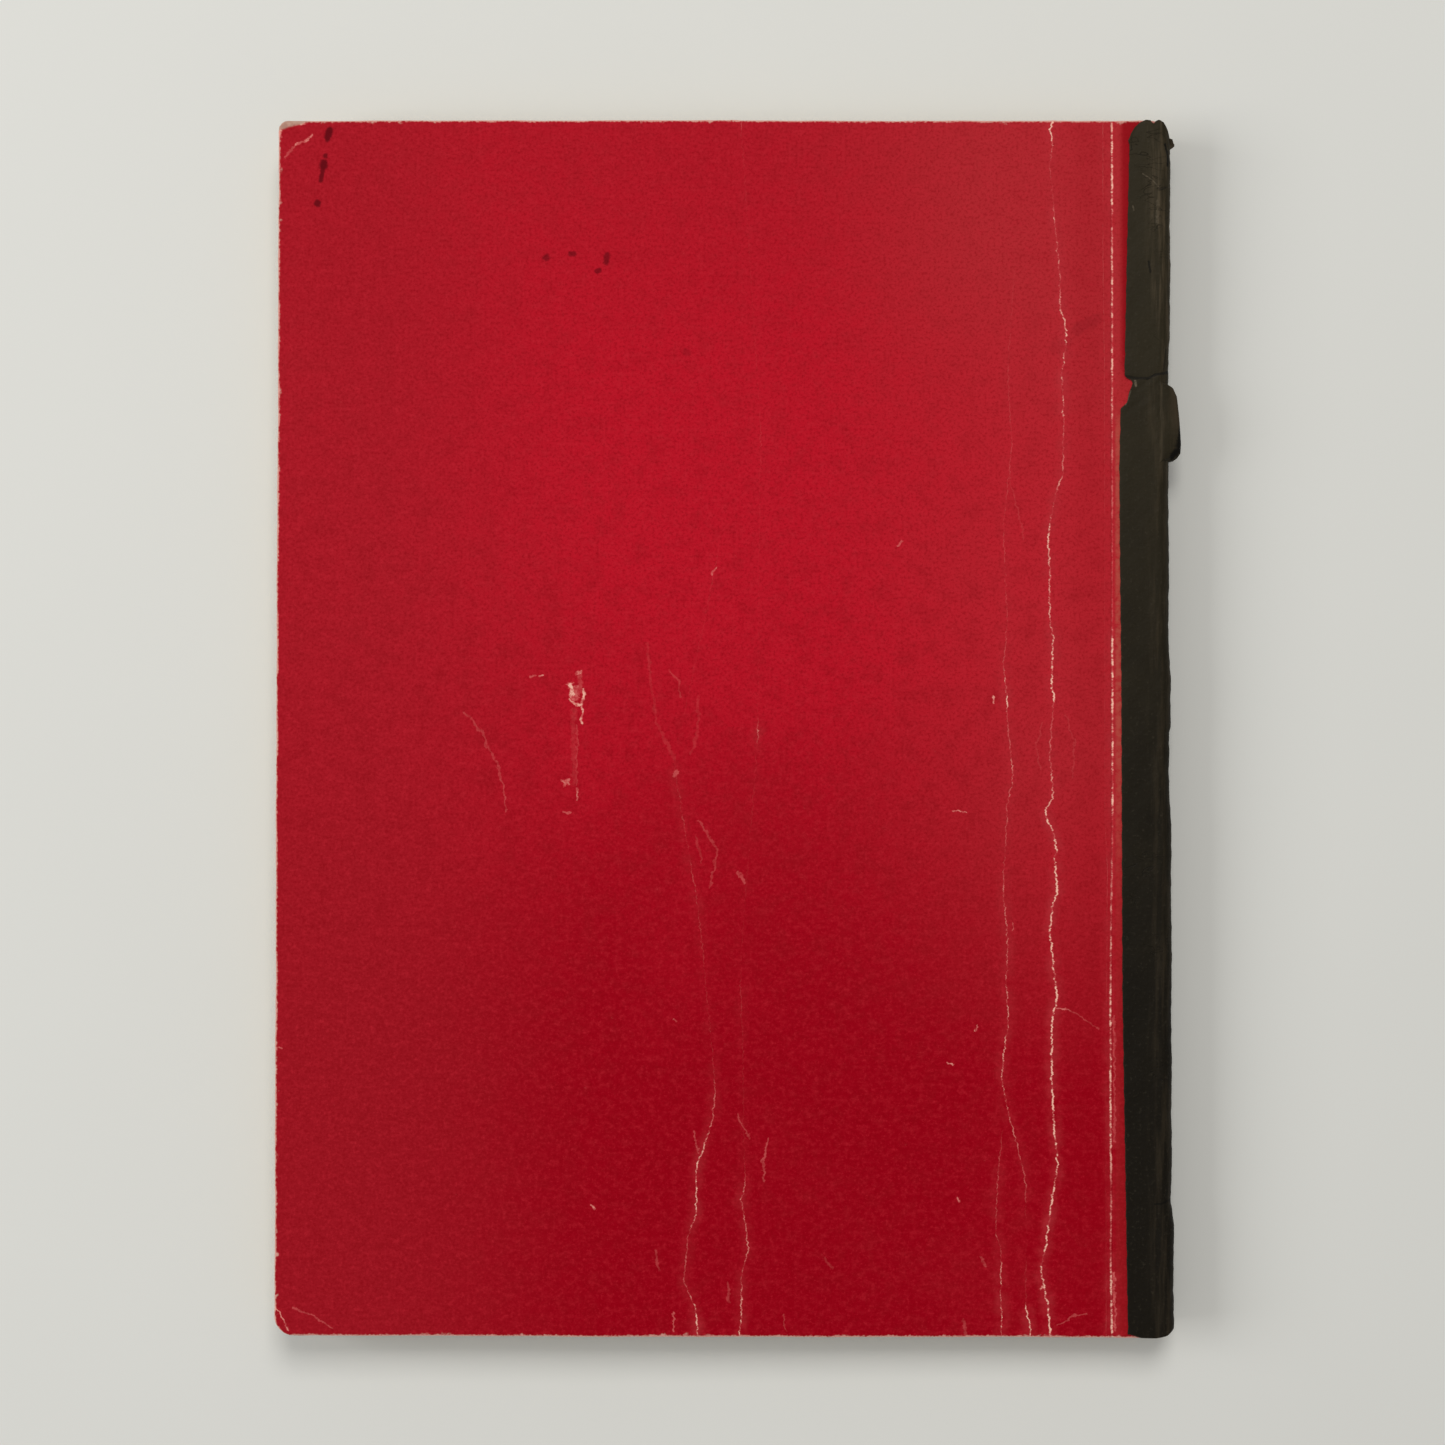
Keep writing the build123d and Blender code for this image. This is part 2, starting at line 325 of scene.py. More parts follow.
SCUFF = [
    ([(-17.5, 6.2), (-17.1, 6.4)], 0.24, 0.75),
    ([(-18.2, 4.7), (-17.9, 3.7)], 0.36, 1.0),
    ([(-17.6, 4.4), (-17.5, 3.2)], 0.34, 0.6),
    ([(-17.2, 5.8), (-16.9, 4.2)], 0.32, 0.30),
    ([(-18.2, 3.2), (-17.6, 2.5), (-17.0, 2.3)], 0.18, 0.85),
    ([(-16.6, 4.1), (-16.6, 3.0), (-17.0, 2.4)], 0.22, 0.95),
    ([(-17.0, 2.3), (-16.8, 1.4), (-16.9, 0.4)], 0.15, 0.85),
    ([(-17.9, 1.8), (-17.7, -6.5)], 0.32, 0.10),
    ([(-17.4, 0.2), (-17.4, -6.8)], 0.11, 0.22),
    ([(-17.35, -7.2), (-17.35, -8.3)], 0.12, 0.65),
    ([(-19.1, -6.1), (-18.3, -6.6)], 0.17, 0.65),
    ([(-18.4, -6.0), (-18.8, -6.9)], 0.15, 0.55),
    ([(-18.9, -9.9), (-18.2, -9.9)], 0.14, 0.5),
]
STAINS = [
    ([(-46.1, 68.7), (-46.3, 67.8)], 0.46, 0.80),
    ([(-46.6, 65.8), (-46.6, 65.7)], 0.32, 0.70),
    ([(-46.75, 64.9), (-46.85, 64.5)], 0.48, 0.80),
    ([(-46.85, 64.4), (-47.1, 62.9)], 0.30, 0.75),
    ([(-47.45, 60.3), (-47.5, 60.2)], 0.40, 0.75),
    ([(-21.2, 53.9), (-21.0, 54.0)], 0.42, 0.60),
    ([(-18.3, 54.4), (-17.9, 54.4)], 0.36, 0.60),
    ([(-14.1, 54.2), (-14.2, 53.4)], 0.42, 0.62),
    ([(-15.2, 52.4), (-15.0, 52.5)], 0.32, 0.60),
    ([(-5.0, 43.1), (-4.8, 43.0)], 0.5, 0.25),
    ([(40.0, 45.7), (42.2, 46.9)], 0.75, 0.16),
    ([(37.5, 43.6), (38.6, 43.9)], 0.9, 0.10),
]


def follow(line, place, column=1):
    """What a line of points says at a place, which is a point's first number. Column 1 is the next one."""
    points = sorted(line)
    return np.interp(place, [point[0] for point in points], [point[column] for point in points])


# ---------------------------------------------------------------- node trees

class Field:
    """A number or colour that varies over a surface: a node's output, with arithmetic."""

    def __init__(self, look, socket):
        self.look = look
        self.socket = socket

    def math(self, operation, *others, clamp=False):
        node = self.look.node("ShaderNodeMath", operation=operation, use_clamp=clamp)
        for socket, value in zip(node.inputs, (self, *others)):
            self.look.put(socket, value)
        return Field(self.look, node.outputs[0])

    def __add__(self, other):
        return self.math("ADD", other)

    def __sub__(self, other):
        return self.math("SUBTRACT", other)

    def __mul__(self, other):
        return self.math("MULTIPLY", other)

    def __truediv__(self, other):
        return self.math("DIVIDE", other)

    def above(self, other):
        return self.math("MAXIMUM", other)

    def below(self, other):
        return self.math("MINIMUM", other)

    def size(self):
        return self.math("ABSOLUTE")

    def rise(self, low, high):
        """0 below low, 1 above high, and an S between. With low above high it falls instead."""
        node = self.look.node("ShaderNodeMapRange", interpolation_type="SMOOTHSTEP")
        for name, value in (("Value", self), ("From Min", low), ("From Max", high)):
            self.look.put(node.inputs[name], value)
        return Field(self.look, node.outputs["Result"])


class Look:
    """A material and the nodes that it is built from."""

    def __init__(self, name, **constants):
        self.material = bpy.data.materials.new(name)
        self.material.use_nodes = True
        self.tree = self.material.node_tree
        self.tree.nodes.clear()
        self.shader = self.node("ShaderNodeBsdfPrincipled")
        output = self.node("ShaderNodeOutputMaterial")
        self.tree.links.new(self.shader.outputs["BSDF"], output.inputs["Surface"])
        for socket, value in constants.items():
            self.shader.inputs[socket.replace("_", " ")].default_value = value

    def node(self, kind, **settings):
        node = self.tree.nodes.new(kind)
        for name, value in settings.items():
            setattr(node, name, value)
        return node

    def put(self, socket, value):
        """Links a field to a socket, or sets the socket's own number."""
        if isinstance(value, Field):
            self.tree.links.new(value.socket, socket)
        else:
            socket.default_value = value

    def number(self, value):
        node = self.node("ShaderNodeValue")
        node.outputs[0].default_value = value
        return Field(self, node.outputs[0])

    def stored(self, name, output="Fac"):
        """An attribute of the mesh."""
        node = self.node("ShaderNodeAttribute", attribute_name=name)
        return Field(self, node.outputs[output])

    def rest(self):
        """The point in the closed notebook, in millimetres, as a vector and as x, y and z."""
        vector = self.stored("rest", "Vector")
        split = self.node("ShaderNodeSeparateXYZ")
        self.put(split.inputs[0], vector)
        return vector, *(Field(self, split.outputs[i]) for i in range(3))

    def place(self):
        """The point in the object's own metres."""
        return Field(self, self.node("ShaderNodeTexCoord").outputs["Object"])

    def vector(self, x=0.0, y=0.0, z=0.0):
        node = self.node("ShaderNodeCombineXYZ")
        for socket, value in zip(node.inputs, (x, y, z)):
            self.put(socket, value)
        return Field(self, node.outputs[0])

    def noise(self, vector, period, detail=2.0, roughness=0.5, distortion=0.0):
        """Noise from 0 to 1 whose features are about a period wide, in the vector's own unit."""
        node = self.node("ShaderNodeTexNoise")
        self.put(node.inputs["Vector"], vector)
        node.inputs["Scale"].default_value = 1 / period
        node.inputs["Detail"].default_value = detail
        node.inputs["Roughness"].default_value = roughness
        node.inputs["Distortion"].default_value = distortion
        return Field(self, node.outputs["Fac"])

    def along(self, value, points):
        """A curve through (place, height) points, read at a value."""
        places = sorted(points)
        low, high = places[0][0], places[-1][0]
        heights = [height for _, height in places]
        base, size = min(heights), max(max(heights) - min(heights), 1e-6)
        share = (value - low) / (high - low)
        node = self.node("ShaderNodeFloatCurve")
        curve = node.mapping.curves[0]
        for index, (place, height) in enumerate(places):
            where = ((place - low) / (high - low), (height - base) / size)
            if index == 0:
                point = curve.points[0]
                point.location = where
            elif index == len(places) - 1:
                point = curve.points[-1]
                point.location = where
            else:
                point = curve.points.new(*where)
            point.handle_type = "VECTOR"
        node.mapping.update()
        self.put(node.inputs["Value"], share)
        return Field(self, node.outputs["Value"]) * size + base

    def mix(self, amount, first, second, blend="MIX"):
        """A colour between two."""
        node = self.node("ShaderNodeMix", data_type="RGBA", blend_type=blend)
        node.clamp_factor = True
        for socket, value in zip((node.inputs[0], node.inputs[6], node.inputs[7]), (amount, first, second)):
            if isinstance(value, tuple):
                value = (*value, 1.0)
            self.put(socket, value)
        return Field(self, node.outputs[2])

    def strokes(self, x, y, marks, fray):
        """How strongly a list of (points, half width, strength) marks a point. Fray roughens the edges."""
        sum_so_far = self.vector(x, y, 0.0)
        for places, width, strength in marks:
            for start, end in zip(places, places[1:]):
                node = self.node("ShaderNodeGroup", node_tree=stroke_group())
                for name, value in (("So far", sum_so_far), ("Fray", fray), ("Start", (*start, 0)),
                                    ("End", (*end, 0)), ("Width", width), ("Strength", strength)):
                    self.put(node.inputs[name], value)
                sum_so_far = Field(self, node.outputs[0])
        split = self.node("ShaderNodeSeparateXYZ")
        self.put(split.inputs[0], sum_so_far)
        return Field(self, split.outputs["Z"])

    def bump(self, height, distance, strength=1.0):
        """Bends the shading by a height field; distance is its full height in metres."""
        node = self.node("ShaderNodeBump")
        node.inputs["Strength"].default_value = strength
        node.inputs["Distance"].default_value = distance
        self.put(node.inputs["Height"], height)
        self.tree.links.new(node.outputs[0], self.shader.inputs["Normal"])

    def finish(self, colour, roughness):
        self.put(self.shader.inputs["Base Color"], colour)
        self.put(self.shader.inputs["Roughness"], roughness)
        return self.material


def stroke_group():
    """A node group that adds one straight mark. The vector carries x, y and the strongest mark so far.

    Each mark takes the vector from the one before, so that Cycles works them out one after another. It has
    room for only some tens of them at a time.
    """
    name = "add_mark"
    if name in bpy.data.node_groups:
        return bpy.data.node_groups[name]
    group = bpy.data.node_groups.new(name, "ShaderNodeTree")
    for socket in ("So far", "Start", "End"):
        group.interface.new_socket(socket, in_out="INPUT", socket_type="NodeSocketVector")
    for socket in ("Fray", "Width", "Strength"):
        group.interface.new_socket(socket, in_out="INPUT", socket_type="NodeSocketFloat")
    group.interface.new_socket("So far", in_out="OUTPUT", socket_type="NodeSocketVector")
    given = group.nodes.new("NodeGroupInput")

    def add(kind, operation, *values, **settings):
        node = group.nodes.new(kind)
        if operation:
            node.operation = operation
        for key, value in settings.items():
            setattr(node, key, value)
        for socket, value in zip(node.inputs, values):
            if isinstance(value, (int, float)):
                socket.default_value = value
            else:
                group.links.new(value, socket)
        return node

    def numbers(operation, *values, **settings):
        return add("ShaderNodeMath", operation, *values, **settings).outputs[0]

    def vectors(operation, *values):
        return add("ShaderNodeVectorMath", operation, *values)

    line = vectors("SUBTRACT", given.outputs["End"], given.outputs["Start"]).outputs[0]
    whole = vectors("DOT_PRODUCT", line, line).outputs["Value"]
    parts = add("ShaderNodeSeparateXYZ", None, given.outputs["So far"])
    flat = add("ShaderNodeCombineXYZ", None, parts.outputs[0], parts.outputs[1], 0.0).outputs[0]
    arm = vectors("SUBTRACT", flat, given.outputs["Start"]).outputs[0]
    reach = vectors("DOT_PRODUCT", arm, line).outputs["Value"]
    share = numbers("DIVIDE", reach, whole, use_clamp=True)
    foot = group.nodes.new("ShaderNodeVectorMath")
    foot.operation = "SCALE"
    group.links.new(line, foot.inputs[0])
    group.links.new(share, foot.inputs["Scale"])
    gap = vectors("SUBTRACT", arm, foot.outputs[0]).outputs[0]
    distance = vectors("LENGTH", gap).outputs["Value"]
    rough = numbers("MULTIPLY", given.outputs["Fray"], given.outputs["Width"])
    away = numbers("DIVIDE", numbers("MULTIPLY_ADD", rough, 1.6, distance), given.outputs["Width"])
    fall = add("ShaderNodeMapRange", None, away, 1.25, 0.45, 0.0, 1.0, interpolation_type="SMOOTHSTEP")
    mark = numbers("MULTIPLY", fall.outputs[0], given.outputs["Strength"])
    best = numbers("MAXIMUM", mark, parts.outputs[2])
    carried = add("ShaderNodeCombineXYZ", None, parts.outputs[0], parts.outputs[1], best).outputs[0]
    result = group.nodes.new("NodeGroupOutput")
    group.links.new(carried, result.inputs[0])
    return group


# ---------------------------------------------------------------- materials

# Marks on the tape: points (x, y), half the width, strength
TAPE_SCRATCHES = [
    ([(47.5, 63.6), (48.6, 62.9), (49.3, 62.1)], 0.08, 0.45),
    ([(49.2, 60.5), (49.1, 57.9)], 0.20, 0.35),
    ([(46.6, 39.75), (46.7, 39.2)], 0.15, 0.9),
    ([(46.1, 38.6), (45.5, 37.0)], 0.09, 0.5),
    ([(46.35, 59.9), (46.45, 59.4)], 0.10, 0.4),
]
# Dark marks, most of them painted shade: in dents, in a crack at the head end and under the lobe's curl, and
# the painted shadow along the tear; two are dark spots
TAPE_SPOTS_AND_SHADE = [
    ([(50.1, 67.0), (50.45, 65.6), (50.4, 64.6)], 0.17, 0.9),
    ([(48.15, 53.5), (48.35, 52.3)], 0.13, 0.7),
    ([(48.7, -54.55), (49.4, -54.5), (50.6, -54.1)], 0.13, 0.75),
    ([(51.95, 34.2), (51.7, 31.9), (50.9, 31.1)], 0.42, 0.95),
    ([(50.2, 43.4), (49.9, 41.0)], 0.12, 0.5),
    ([(45.3, 40.35), (46.6, 40.05), (48.1, 40.05), (48.7, 40.4), (50.0, 40.65), (50.65, 40.95)], 0.17, 1.0),
]

# The card's colours, as linear red, green and blue
RED = (0.520, 0.0070, 0.0205)
# Painted shade: the deeper red towards the tail
RED_TAIL_SHADE = (0.322, 0.0003, 0.0078)
RED_DULL = (0.355, 0.0110, 0.0190)
# A painted sheen: a paler, hazier red
RED_SHEEN = (0.470, 0.0230, 0.0310)
RED_SHADE = (0.260, 0.0006, 0.0050)
# Paler grain red that also carries a thin painted sheen
RED_GRAIN_SHEEN = (0.560, 0.0200, 0.0350)
CORE = (0.78, 0.165, 0.160)
PALE_CORE = (0.95, 0.52, 0.40)
STAIN = (0.075, 0.0020, 0.0045)
BOARD = (0.62, 0.52, 0.40)


def crease(look, x, y, path, width, wobble, jitter, beads):
    """How strongly a long crease marks the point: the core of the crack, and the flexed card beside it."""
    line = look.along(y, [(place, across) for place, across, _ in path])
    worn = look.along(y, [(place, wear) for place, _, wear in path])
    low, high = min(path)[0], max(path)[0]
    worn = worn * y.rise(low - 0.3, low) * y.rise(high + 0.3, high)
    away = (x - line + (jitter - 0.5) * wobble).size()
    half = (worn * 0.5 + 0.5) * (beads * 1.5 + 0.2) * width
    core = (away / half).rise(1.3, 0.35) * (worn * (beads.rise(0.34, 0.64) * 1.2 + 0.12)).below(1.0)
    return core, away.rise(1.3, 0.1) * worn


def red_card(name, creases, scratches, stains):
    """Coated red card: mottled, finely grained, and worn to its pale core at creases and edges, with a
    painted sheen and painted shade in its colour.
    """
    look = Look(name, Specular_IOR_Level=0.02)
    _, x, y, _ = look.rest()
    flat = look.vector(x, y, 0.0)
    rim = look.stored("rim")
    grain = look.noise(flat, 0.34, 2.0, 0.7)
    fibre = look.noise(look.vector(x * 0.85, y, 0.0), 0.8, 4.0, 0.7)
    mottle = look.noise(flat, 2.4, 5.0, 0.65)
    cloud = look.noise(flat, 24.0, 3.0, 0.55)

    # Darker, deeper red towards the tail: painted shade, as if less light reached the tail end, varied by
    # large clouds. Duller along the fore edge and the head
    clear = (cloud - 0.5) * 0.6 + y.rise(45.0, -62.0)
    colour = look.mix(clear.rise(0.10, 0.95), RED, RED_TAIL_SHADE)
    dull = x.rise(-10.0, -44.0).above(y.rise(36.0, 72.0) * 0.6)
    colour = look.mix((dull * 0.8 + (mottle - 0.5) * 0.5) * 0.85, colour, RED_DULL)

    # A painted sheen: a paler, hazier red that stands in for light reflected off the card near the spine and
    # the head, broken up by mottle and clouds
    painted_sheen = x.rise(6.0, 44.0) * y.rise(-50.0, 0.0) * 0.8 + x.rise(0.0, 30.0) * y.rise(25.0, 62.0) * 0.55
    colour = look.mix((painted_sheen + (mottle - 0.5) * 0.5 + (cloud - 0.5) * 0.5) * 0.9, colour, RED_SHEEN)
    colour = look.mix(mottle.rise(0.42, 0.72) * (y.rise(60.0, -10.0) * 0.20 + 0.16), colour, RED_SHADE)
    # Fine fibres and grain, darker and paler. The paler speckle is a hazy red that also lays a thin painted
    # sheen over the whole card
    colour = look.mix(fibre.rise(0.42, 0.80) * 0.42, colour, RED_GRAIN_SHEEN)
    colour = look.mix(grain.rise(0.45, 0.72) * 0.48, colour, RED_SHADE)
    colour = look.mix(grain.rise(0.46, 0.26) * 0.34, colour, RED_GRAIN_SHEEN)

    # From the main crack to the spine the card is darker, as painted shade of the slightly hollow strip
    # before the score line; towards the head it is darker too.
    colour = look.mix(x.rise(38.5, 41.0) * 0.13 + y.rise(20.0, 60.0) * 0.07, colour, RED_SHADE)
    # Beyond the score line it has faded, most of all halfway up.
    faded = y.rise(-26.0, 4.0) * y.rise(38.0, 33.0) * fibre.rise(0.30, 0.62) * 0.85 + 0.08
    colour = look.mix(x.rise(HINGE, HINGE + 0.4) * faded, colour, (0.46, 0.075, 0.055))
    # A painted shadow of the tape's thick edge, on the card beside it above the tear
    colour = look.mix(x.rise(HINGE + 0.5, HINGE + 1.3) * y.rise(39.0, 43.0) * 0.75, colour, RED_SHADE)

    # Flecks rubbed off the coating
    fleck = look.noise(look.vector(x, y, 5.0), 1.0, 5.0, 0.8).rise(0.62, 0.74) * mottle.rise(0.42, 0.62)
    colour = look.mix(fleck * 0.30, colour, (0.60, 0.070, 0.080))

    cores = None
    if creases:
        jitter = look.noise(look.vector(x * 0.3, y, 0.0), 0.7, 4.0, 0.7)
        beads = look.noise(look.vector(x * 0.5, y, 3.0), 0.55, 3.0, 0.7)
        beads = beads + (look.noise(look.vector(x * 0.3, y, 9.0), 3.2, 1.0, 0.5) - 0.5) * 0.45
        flexed = None
        for path, width, wobble in creases:
            core, beside = crease(look, x, y, path, width, wobble, jitter, beads)
            cores = core if cores is None else cores.above(core)
            flexed = beside if flexed is None else flexed.above(beside)
        colour = look.mix(flexed * mottle.rise(0.3, 0.7) * 0.42, colour, (0.52, 0.045, 0.055))
    marked = cores
    if scratches:
        bend_x = look.noise(flat, 1.3, 3.0, 0.65)
        bend_y = look.noise(look.vector(x, y, 7.0), 1.3, 3.0, 0.65)
        marks = look.strokes(x + (bend_x - 0.5) * 1.3, y + (bend_y - 0.5) * 1.3, scratches, grain - 0.5)
        marks = marks * (fibre.rise(0.30, 0.60) * 0.75 + 0.25)
        marked = marks if marked is None else marked.above(marks)
    if marked is not None:
        colour = look.mix(marked, colour, look.mix(marked.rise(0.35, 1.0), CORE, PALE_CORE))
    if stains:
        colour = look.mix(look.strokes(x, y, stains, fibre - 0.5), colour, STAIN)

    # Edges rubbed down to the board
    worn = (rim + (mottle - 0.5) * 0.45 + (grain - 0.5) * 0.45).rise(0.22, 0.04)
    # The head corner of the fore edge shows the board darker grey-brown: partly dirt, partly painted shade
    # where the corner bends down
    corner = ((x - FORE) * 0.33 + (y * -1.0 + HEAD) + (mottle - 0.5) * 0.6).rise(1.40, 1.10)
    nicks = (rim + (look.noise(flat, 1.3, 3.0, 0.6) - 0.5) * 2.4).rise(0.05, -0.30)
    colour = look.mix(worn.above(nicks) * 0.8, colour, (0.74, 0.40, 0.33))
    colour = look.mix(corner * 0.8, colour, (0.44, 0.29, 0.22))

    height = grain * 0.22 + fibre * 0.30 + mottle * 0.30
    if cores is not None:
        height = height - cores * 0.5
    look.bump(height, 0.00012, 0.55)
    return look.finish(colour, look.number(0.60) - fibre * 0.12)


def board(name, colour, inner):
    """The card's uncoated side and cut edge."""
    look = Look(name, Specular_IOR_Level=0.25)
    rest, x, y, z = look.rest()
    rim = look.stored("rim")
    fibre = look.noise(look.vector(x, y, z * 4), 0.5, 4.0, 0.65)
    cloud = look.noise(rest, 18.0, 3.0, 0.6)
    dark = tuple(c * 0.72 for c in colour)
    base = look.mix(cloud.rise(0.3, 0.75) * 0.4, colour, dark)
    base = look.mix(fibre.rise(0.4, 0.75) * 0.35, base, tuple(c * 0.6 for c in colour))
    if inner:
        toned = (rim + (cloud - 0.5) * 8).rise(9.0, 0.0)
        base = look.mix(toned * 0.55, base, (0.42, 0.29, 0.16))
        fox = look.noise(rest, 3.2, 2.0, 0.5).rise(0.72, 0.78)
        base = look.mix(fox * 0.35, base, (0.33, 0.17, 0.07))
    look.bump(fibre, 0.00006, 0.5)
    return look.finish(base, look.number(0.85) - fibre * 0.1)


def page_paper(name, ruled):
    """Cream paper with feint ruling, browner towards its edges."""
    look = Look(name, Specular_IOR_Level=0.2)
    _, x, y, _ = look.rest()
    rim = look.stored("rim")
    tint = look.stored("tint")
    own = look.vector(x, y, tint * 40)
    fibre = look.noise(own, 0.45, 3.0, 0.6)
    cloud = look.noise(own, 22.0, 3.0, 0.55)
    base = look.mix(tint, (0.80, 0.72, 0.55), (0.74, 0.64, 0.46))
    base = look.mix(cloud.rise(0.35, 0.75) * 0.35, base, (0.70, 0.59, 0.40))
    if ruled:
        first_rule = HEAD - 14.0
        rule_pitch = 7.0
        row = (y - first_rule) / rule_pitch
        line = (row - row.math("ROUND")).size() * rule_pitch
        ink = (line + (fibre - 0.5) * 0.08).rise(0.17, 0.07) * y.rise(first_rule + 1.0, first_rule + 0.8)
        base = look.mix(ink * 0.55, base, (0.25, 0.33, 0.50))
    toned = (rim + (cloud - 0.5) * 7).rise(8.0, 0.0)
    base = look.mix(toned * 0.55, base, (0.50, 0.35, 0.18))
    base = look.mix(fibre.rise(0.45, 0.8) * 0.18, base, (0.52, 0.43, 0.29))
    fox = look.noise(own, 2.4, 2.0, 0.5).rise(0.74, 0.79)
    base = look.mix(fox * 0.4, base, (0.38, 0.20, 0.08))
    look.bump(fibre, 0.00003, 0.5)
    return look.finish(base, look.number(0.9) - fibre * 0.08)


def leathery_tape():
    """Black gummed tape with a leather-like face, gone olive-brown where it is worn; lighter towards the
    head as painted light, with painted highlights on the roll-over and the lobe and painted shade in dents
    and along the tear.
    """
    look = Look("black_tape", Specular_IOR_Level=0.09)
    rest, x, y, z = look.rest()
    rim = look.stored("rim")
    pebble = look.node("ShaderNodeTexVoronoi", feature="SMOOTH_F1")
    look.put(pebble.inputs["Vector"], rest)
    pebble.inputs["Scale"].default_value = 2.6
    pebble = Field(look, pebble.outputs["Distance"])
    grain = look.noise(rest, 0.35, 3.0, 0.6)
    streak = look.noise(look.vector(x * 1.3, y * 0.10, z), 0.8, 3.0, 0.6)
    blotch = look.noise(rest, 9.0, 3.0, 0.6)
    wrinkle = look.noise(look.vector(x * 0.35, y, z * 0.35), 2.2, 3.0, 0.65, 0.6)
    fibres = look.noise(rest, 0.5, 3.0, 0.7).rise(0.35, 0.65)

    # Lighter towards the head, darker towards the tail: painted light falling from the head side, varied by
    # blotches
    towards_head = y.rise(-60.0, 60.0)
    shade = towards_head * 0.8 + (blotch - 0.5) * 0.6
    base = look.mix(shade.rise(0.0, 1.0), (0.0085, 0.0064, 0.0036), (0.0270, 0.0210, 0.0105))
    # Brown streaks along the roll-over into the spine, stronger towards the head: partly wear, partly a
    # painted highlight on the curve
    wear_and_highlight = streak.rise(0.42, 0.72) * x.rise(SPINE - 3.4, SPINE - 1.0)
    wear_and_highlight = wear_and_highlight * (y.rise(20.0, 62.0) * 0.75 + 0.25)
    base = look.mix(wear_and_highlight * 0.85, base, (0.082, 0.059, 0.034))
    # A brown painted highlight on the lit top of the curled lobe
    base = look.mix(x.rise(SPINE - 0.2, SPINE + 0.7) * y.rise(32.5, 36.0) * 0.7, base, (0.052, 0.037, 0.022))
    base = look.mix(grain.rise(0.55, 0.8) * 0.35, base, (0.056, 0.046, 0.030))
    crack = (wrinkle - 0.5).size().rise(0.010, 0.0) * blotch.rise(0.52, 0.66)
    base = look.mix(crack * 0.55, base, (0.006, 0.005, 0.004))
    pale = look.strokes(x, y, TAPE_SCRATCHES, grain - 0.5)
    base = look.mix(pale * (fibres * 0.8 + 0.2), base, (0.16, 0.125, 0.085))
    # Dark spots, and the painted shade and painted shadow listed above
    dark = look.strokes(x, y, TAPE_SPOTS_AND_SHADE, grain - 0.5)
    base = look.mix(dark, base, (0.0035, 0.0030, 0.0022))
    torn = (rim + (grain - 0.5) * 0.4).rise(0.13, 0.03)
    base = look.mix(torn * 0.15, base, (0.07, 0.055, 0.036))
    height = pebble * 0.30 + grain * 0.35 + streak * 0.25 + wrinkle * 0.5 - crack * 0.6
    look.bump(height, 0.00012, 0.6)
    roughness = look.number(0.60) - streak * 0.16 + grain * 0.12
    return look.finish(base, roughness)


def torn_paper():
    """The tape's torn and cut edges and its gummed side."""
    look = Look("tape_paper", Specular_IOR_Level=0.2)
    rest, _, _, _ = look.rest()
    fibre = look.noise(rest, 0.25, 4.0, 0.7)
    base = look.mix(fibre, (0.008, 0.0065, 0.0045), (0.050, 0.039, 0.026))
    look.bump(fibre, 0.00006, 0.6)
    return look.finish(base, look.number(0.85) - fibre * 0.1)


def tarnished_steel():
    """Flat stitching wire, dulled, with a little rust."""
    look = Look("staple_wire", Metallic=1.0)
    point = look.place()
    drawn = look.noise(point, 0.00015, 3.0, 0.6)
    spots = look.noise(point, 0.0009, 3.0, 0.6).rise(0.52, 0.66)
    base = look.mix(drawn, (0.42, 0.40, 0.37), (0.58, 0.56, 0.53))
    base = look.mix(spots * 0.8, base, (0.20, 0.085, 0.035))
    look.bump(drawn + spots, 0.00002, 0.6)
    return look.finish(base, look.number(0.38) + spots * 0.35)


# Each crease: its path, the half width of the crack, and how far it wobbles
CARD_CREASES = [
    (MAIN_CRACK, 0.115, 0.9), (SECOND_CRACK, 0.090, 0.9), (LOW_BRANCH, 0.080, 0.8), (FOLD_A, 0.095, 0.9),
    (FOLD_B, 0.090, 0.9), (SCORE_LINE, 0.150, 0.36), (INNER_SCORE_LINE, 0.070, 0.3),
]
# The front cover has the same score line, and a fold of its own.
FRONT_CREASES = [
    ([(y, x - 1.2, wear * 0.7) for y, x, wear in reversed(SCORE_LINE)], 0.13, 0.15),
    ([(-y, 35.5 + (x - 32.0) * 0.7, min(1.0, wear * 1.3)) for y, x, wear in SECOND_CRACK], 0.13, 0.8),
]
front_red = red_card("red_card_front", FRONT_CREASES, [], [])

# The back cover's face is divided, so that each patch's material works out only the marks that lie on it.
PATCH_X = (-38.0, -9.0, 8.0, 27.0, 41.5)
PATCH_Y = (-30.0, 15.0, 48.0)


def near_patch(points, low, high):
    """Whether any of the points' box, with a little round it, lies between two corners."""
    room = 1.8
    for axis in (0, 1):
        places = [point[axis] for point in points]
        if max(places) + room < low[axis] or min(places) - room > high[axis]:
            return False
    return True


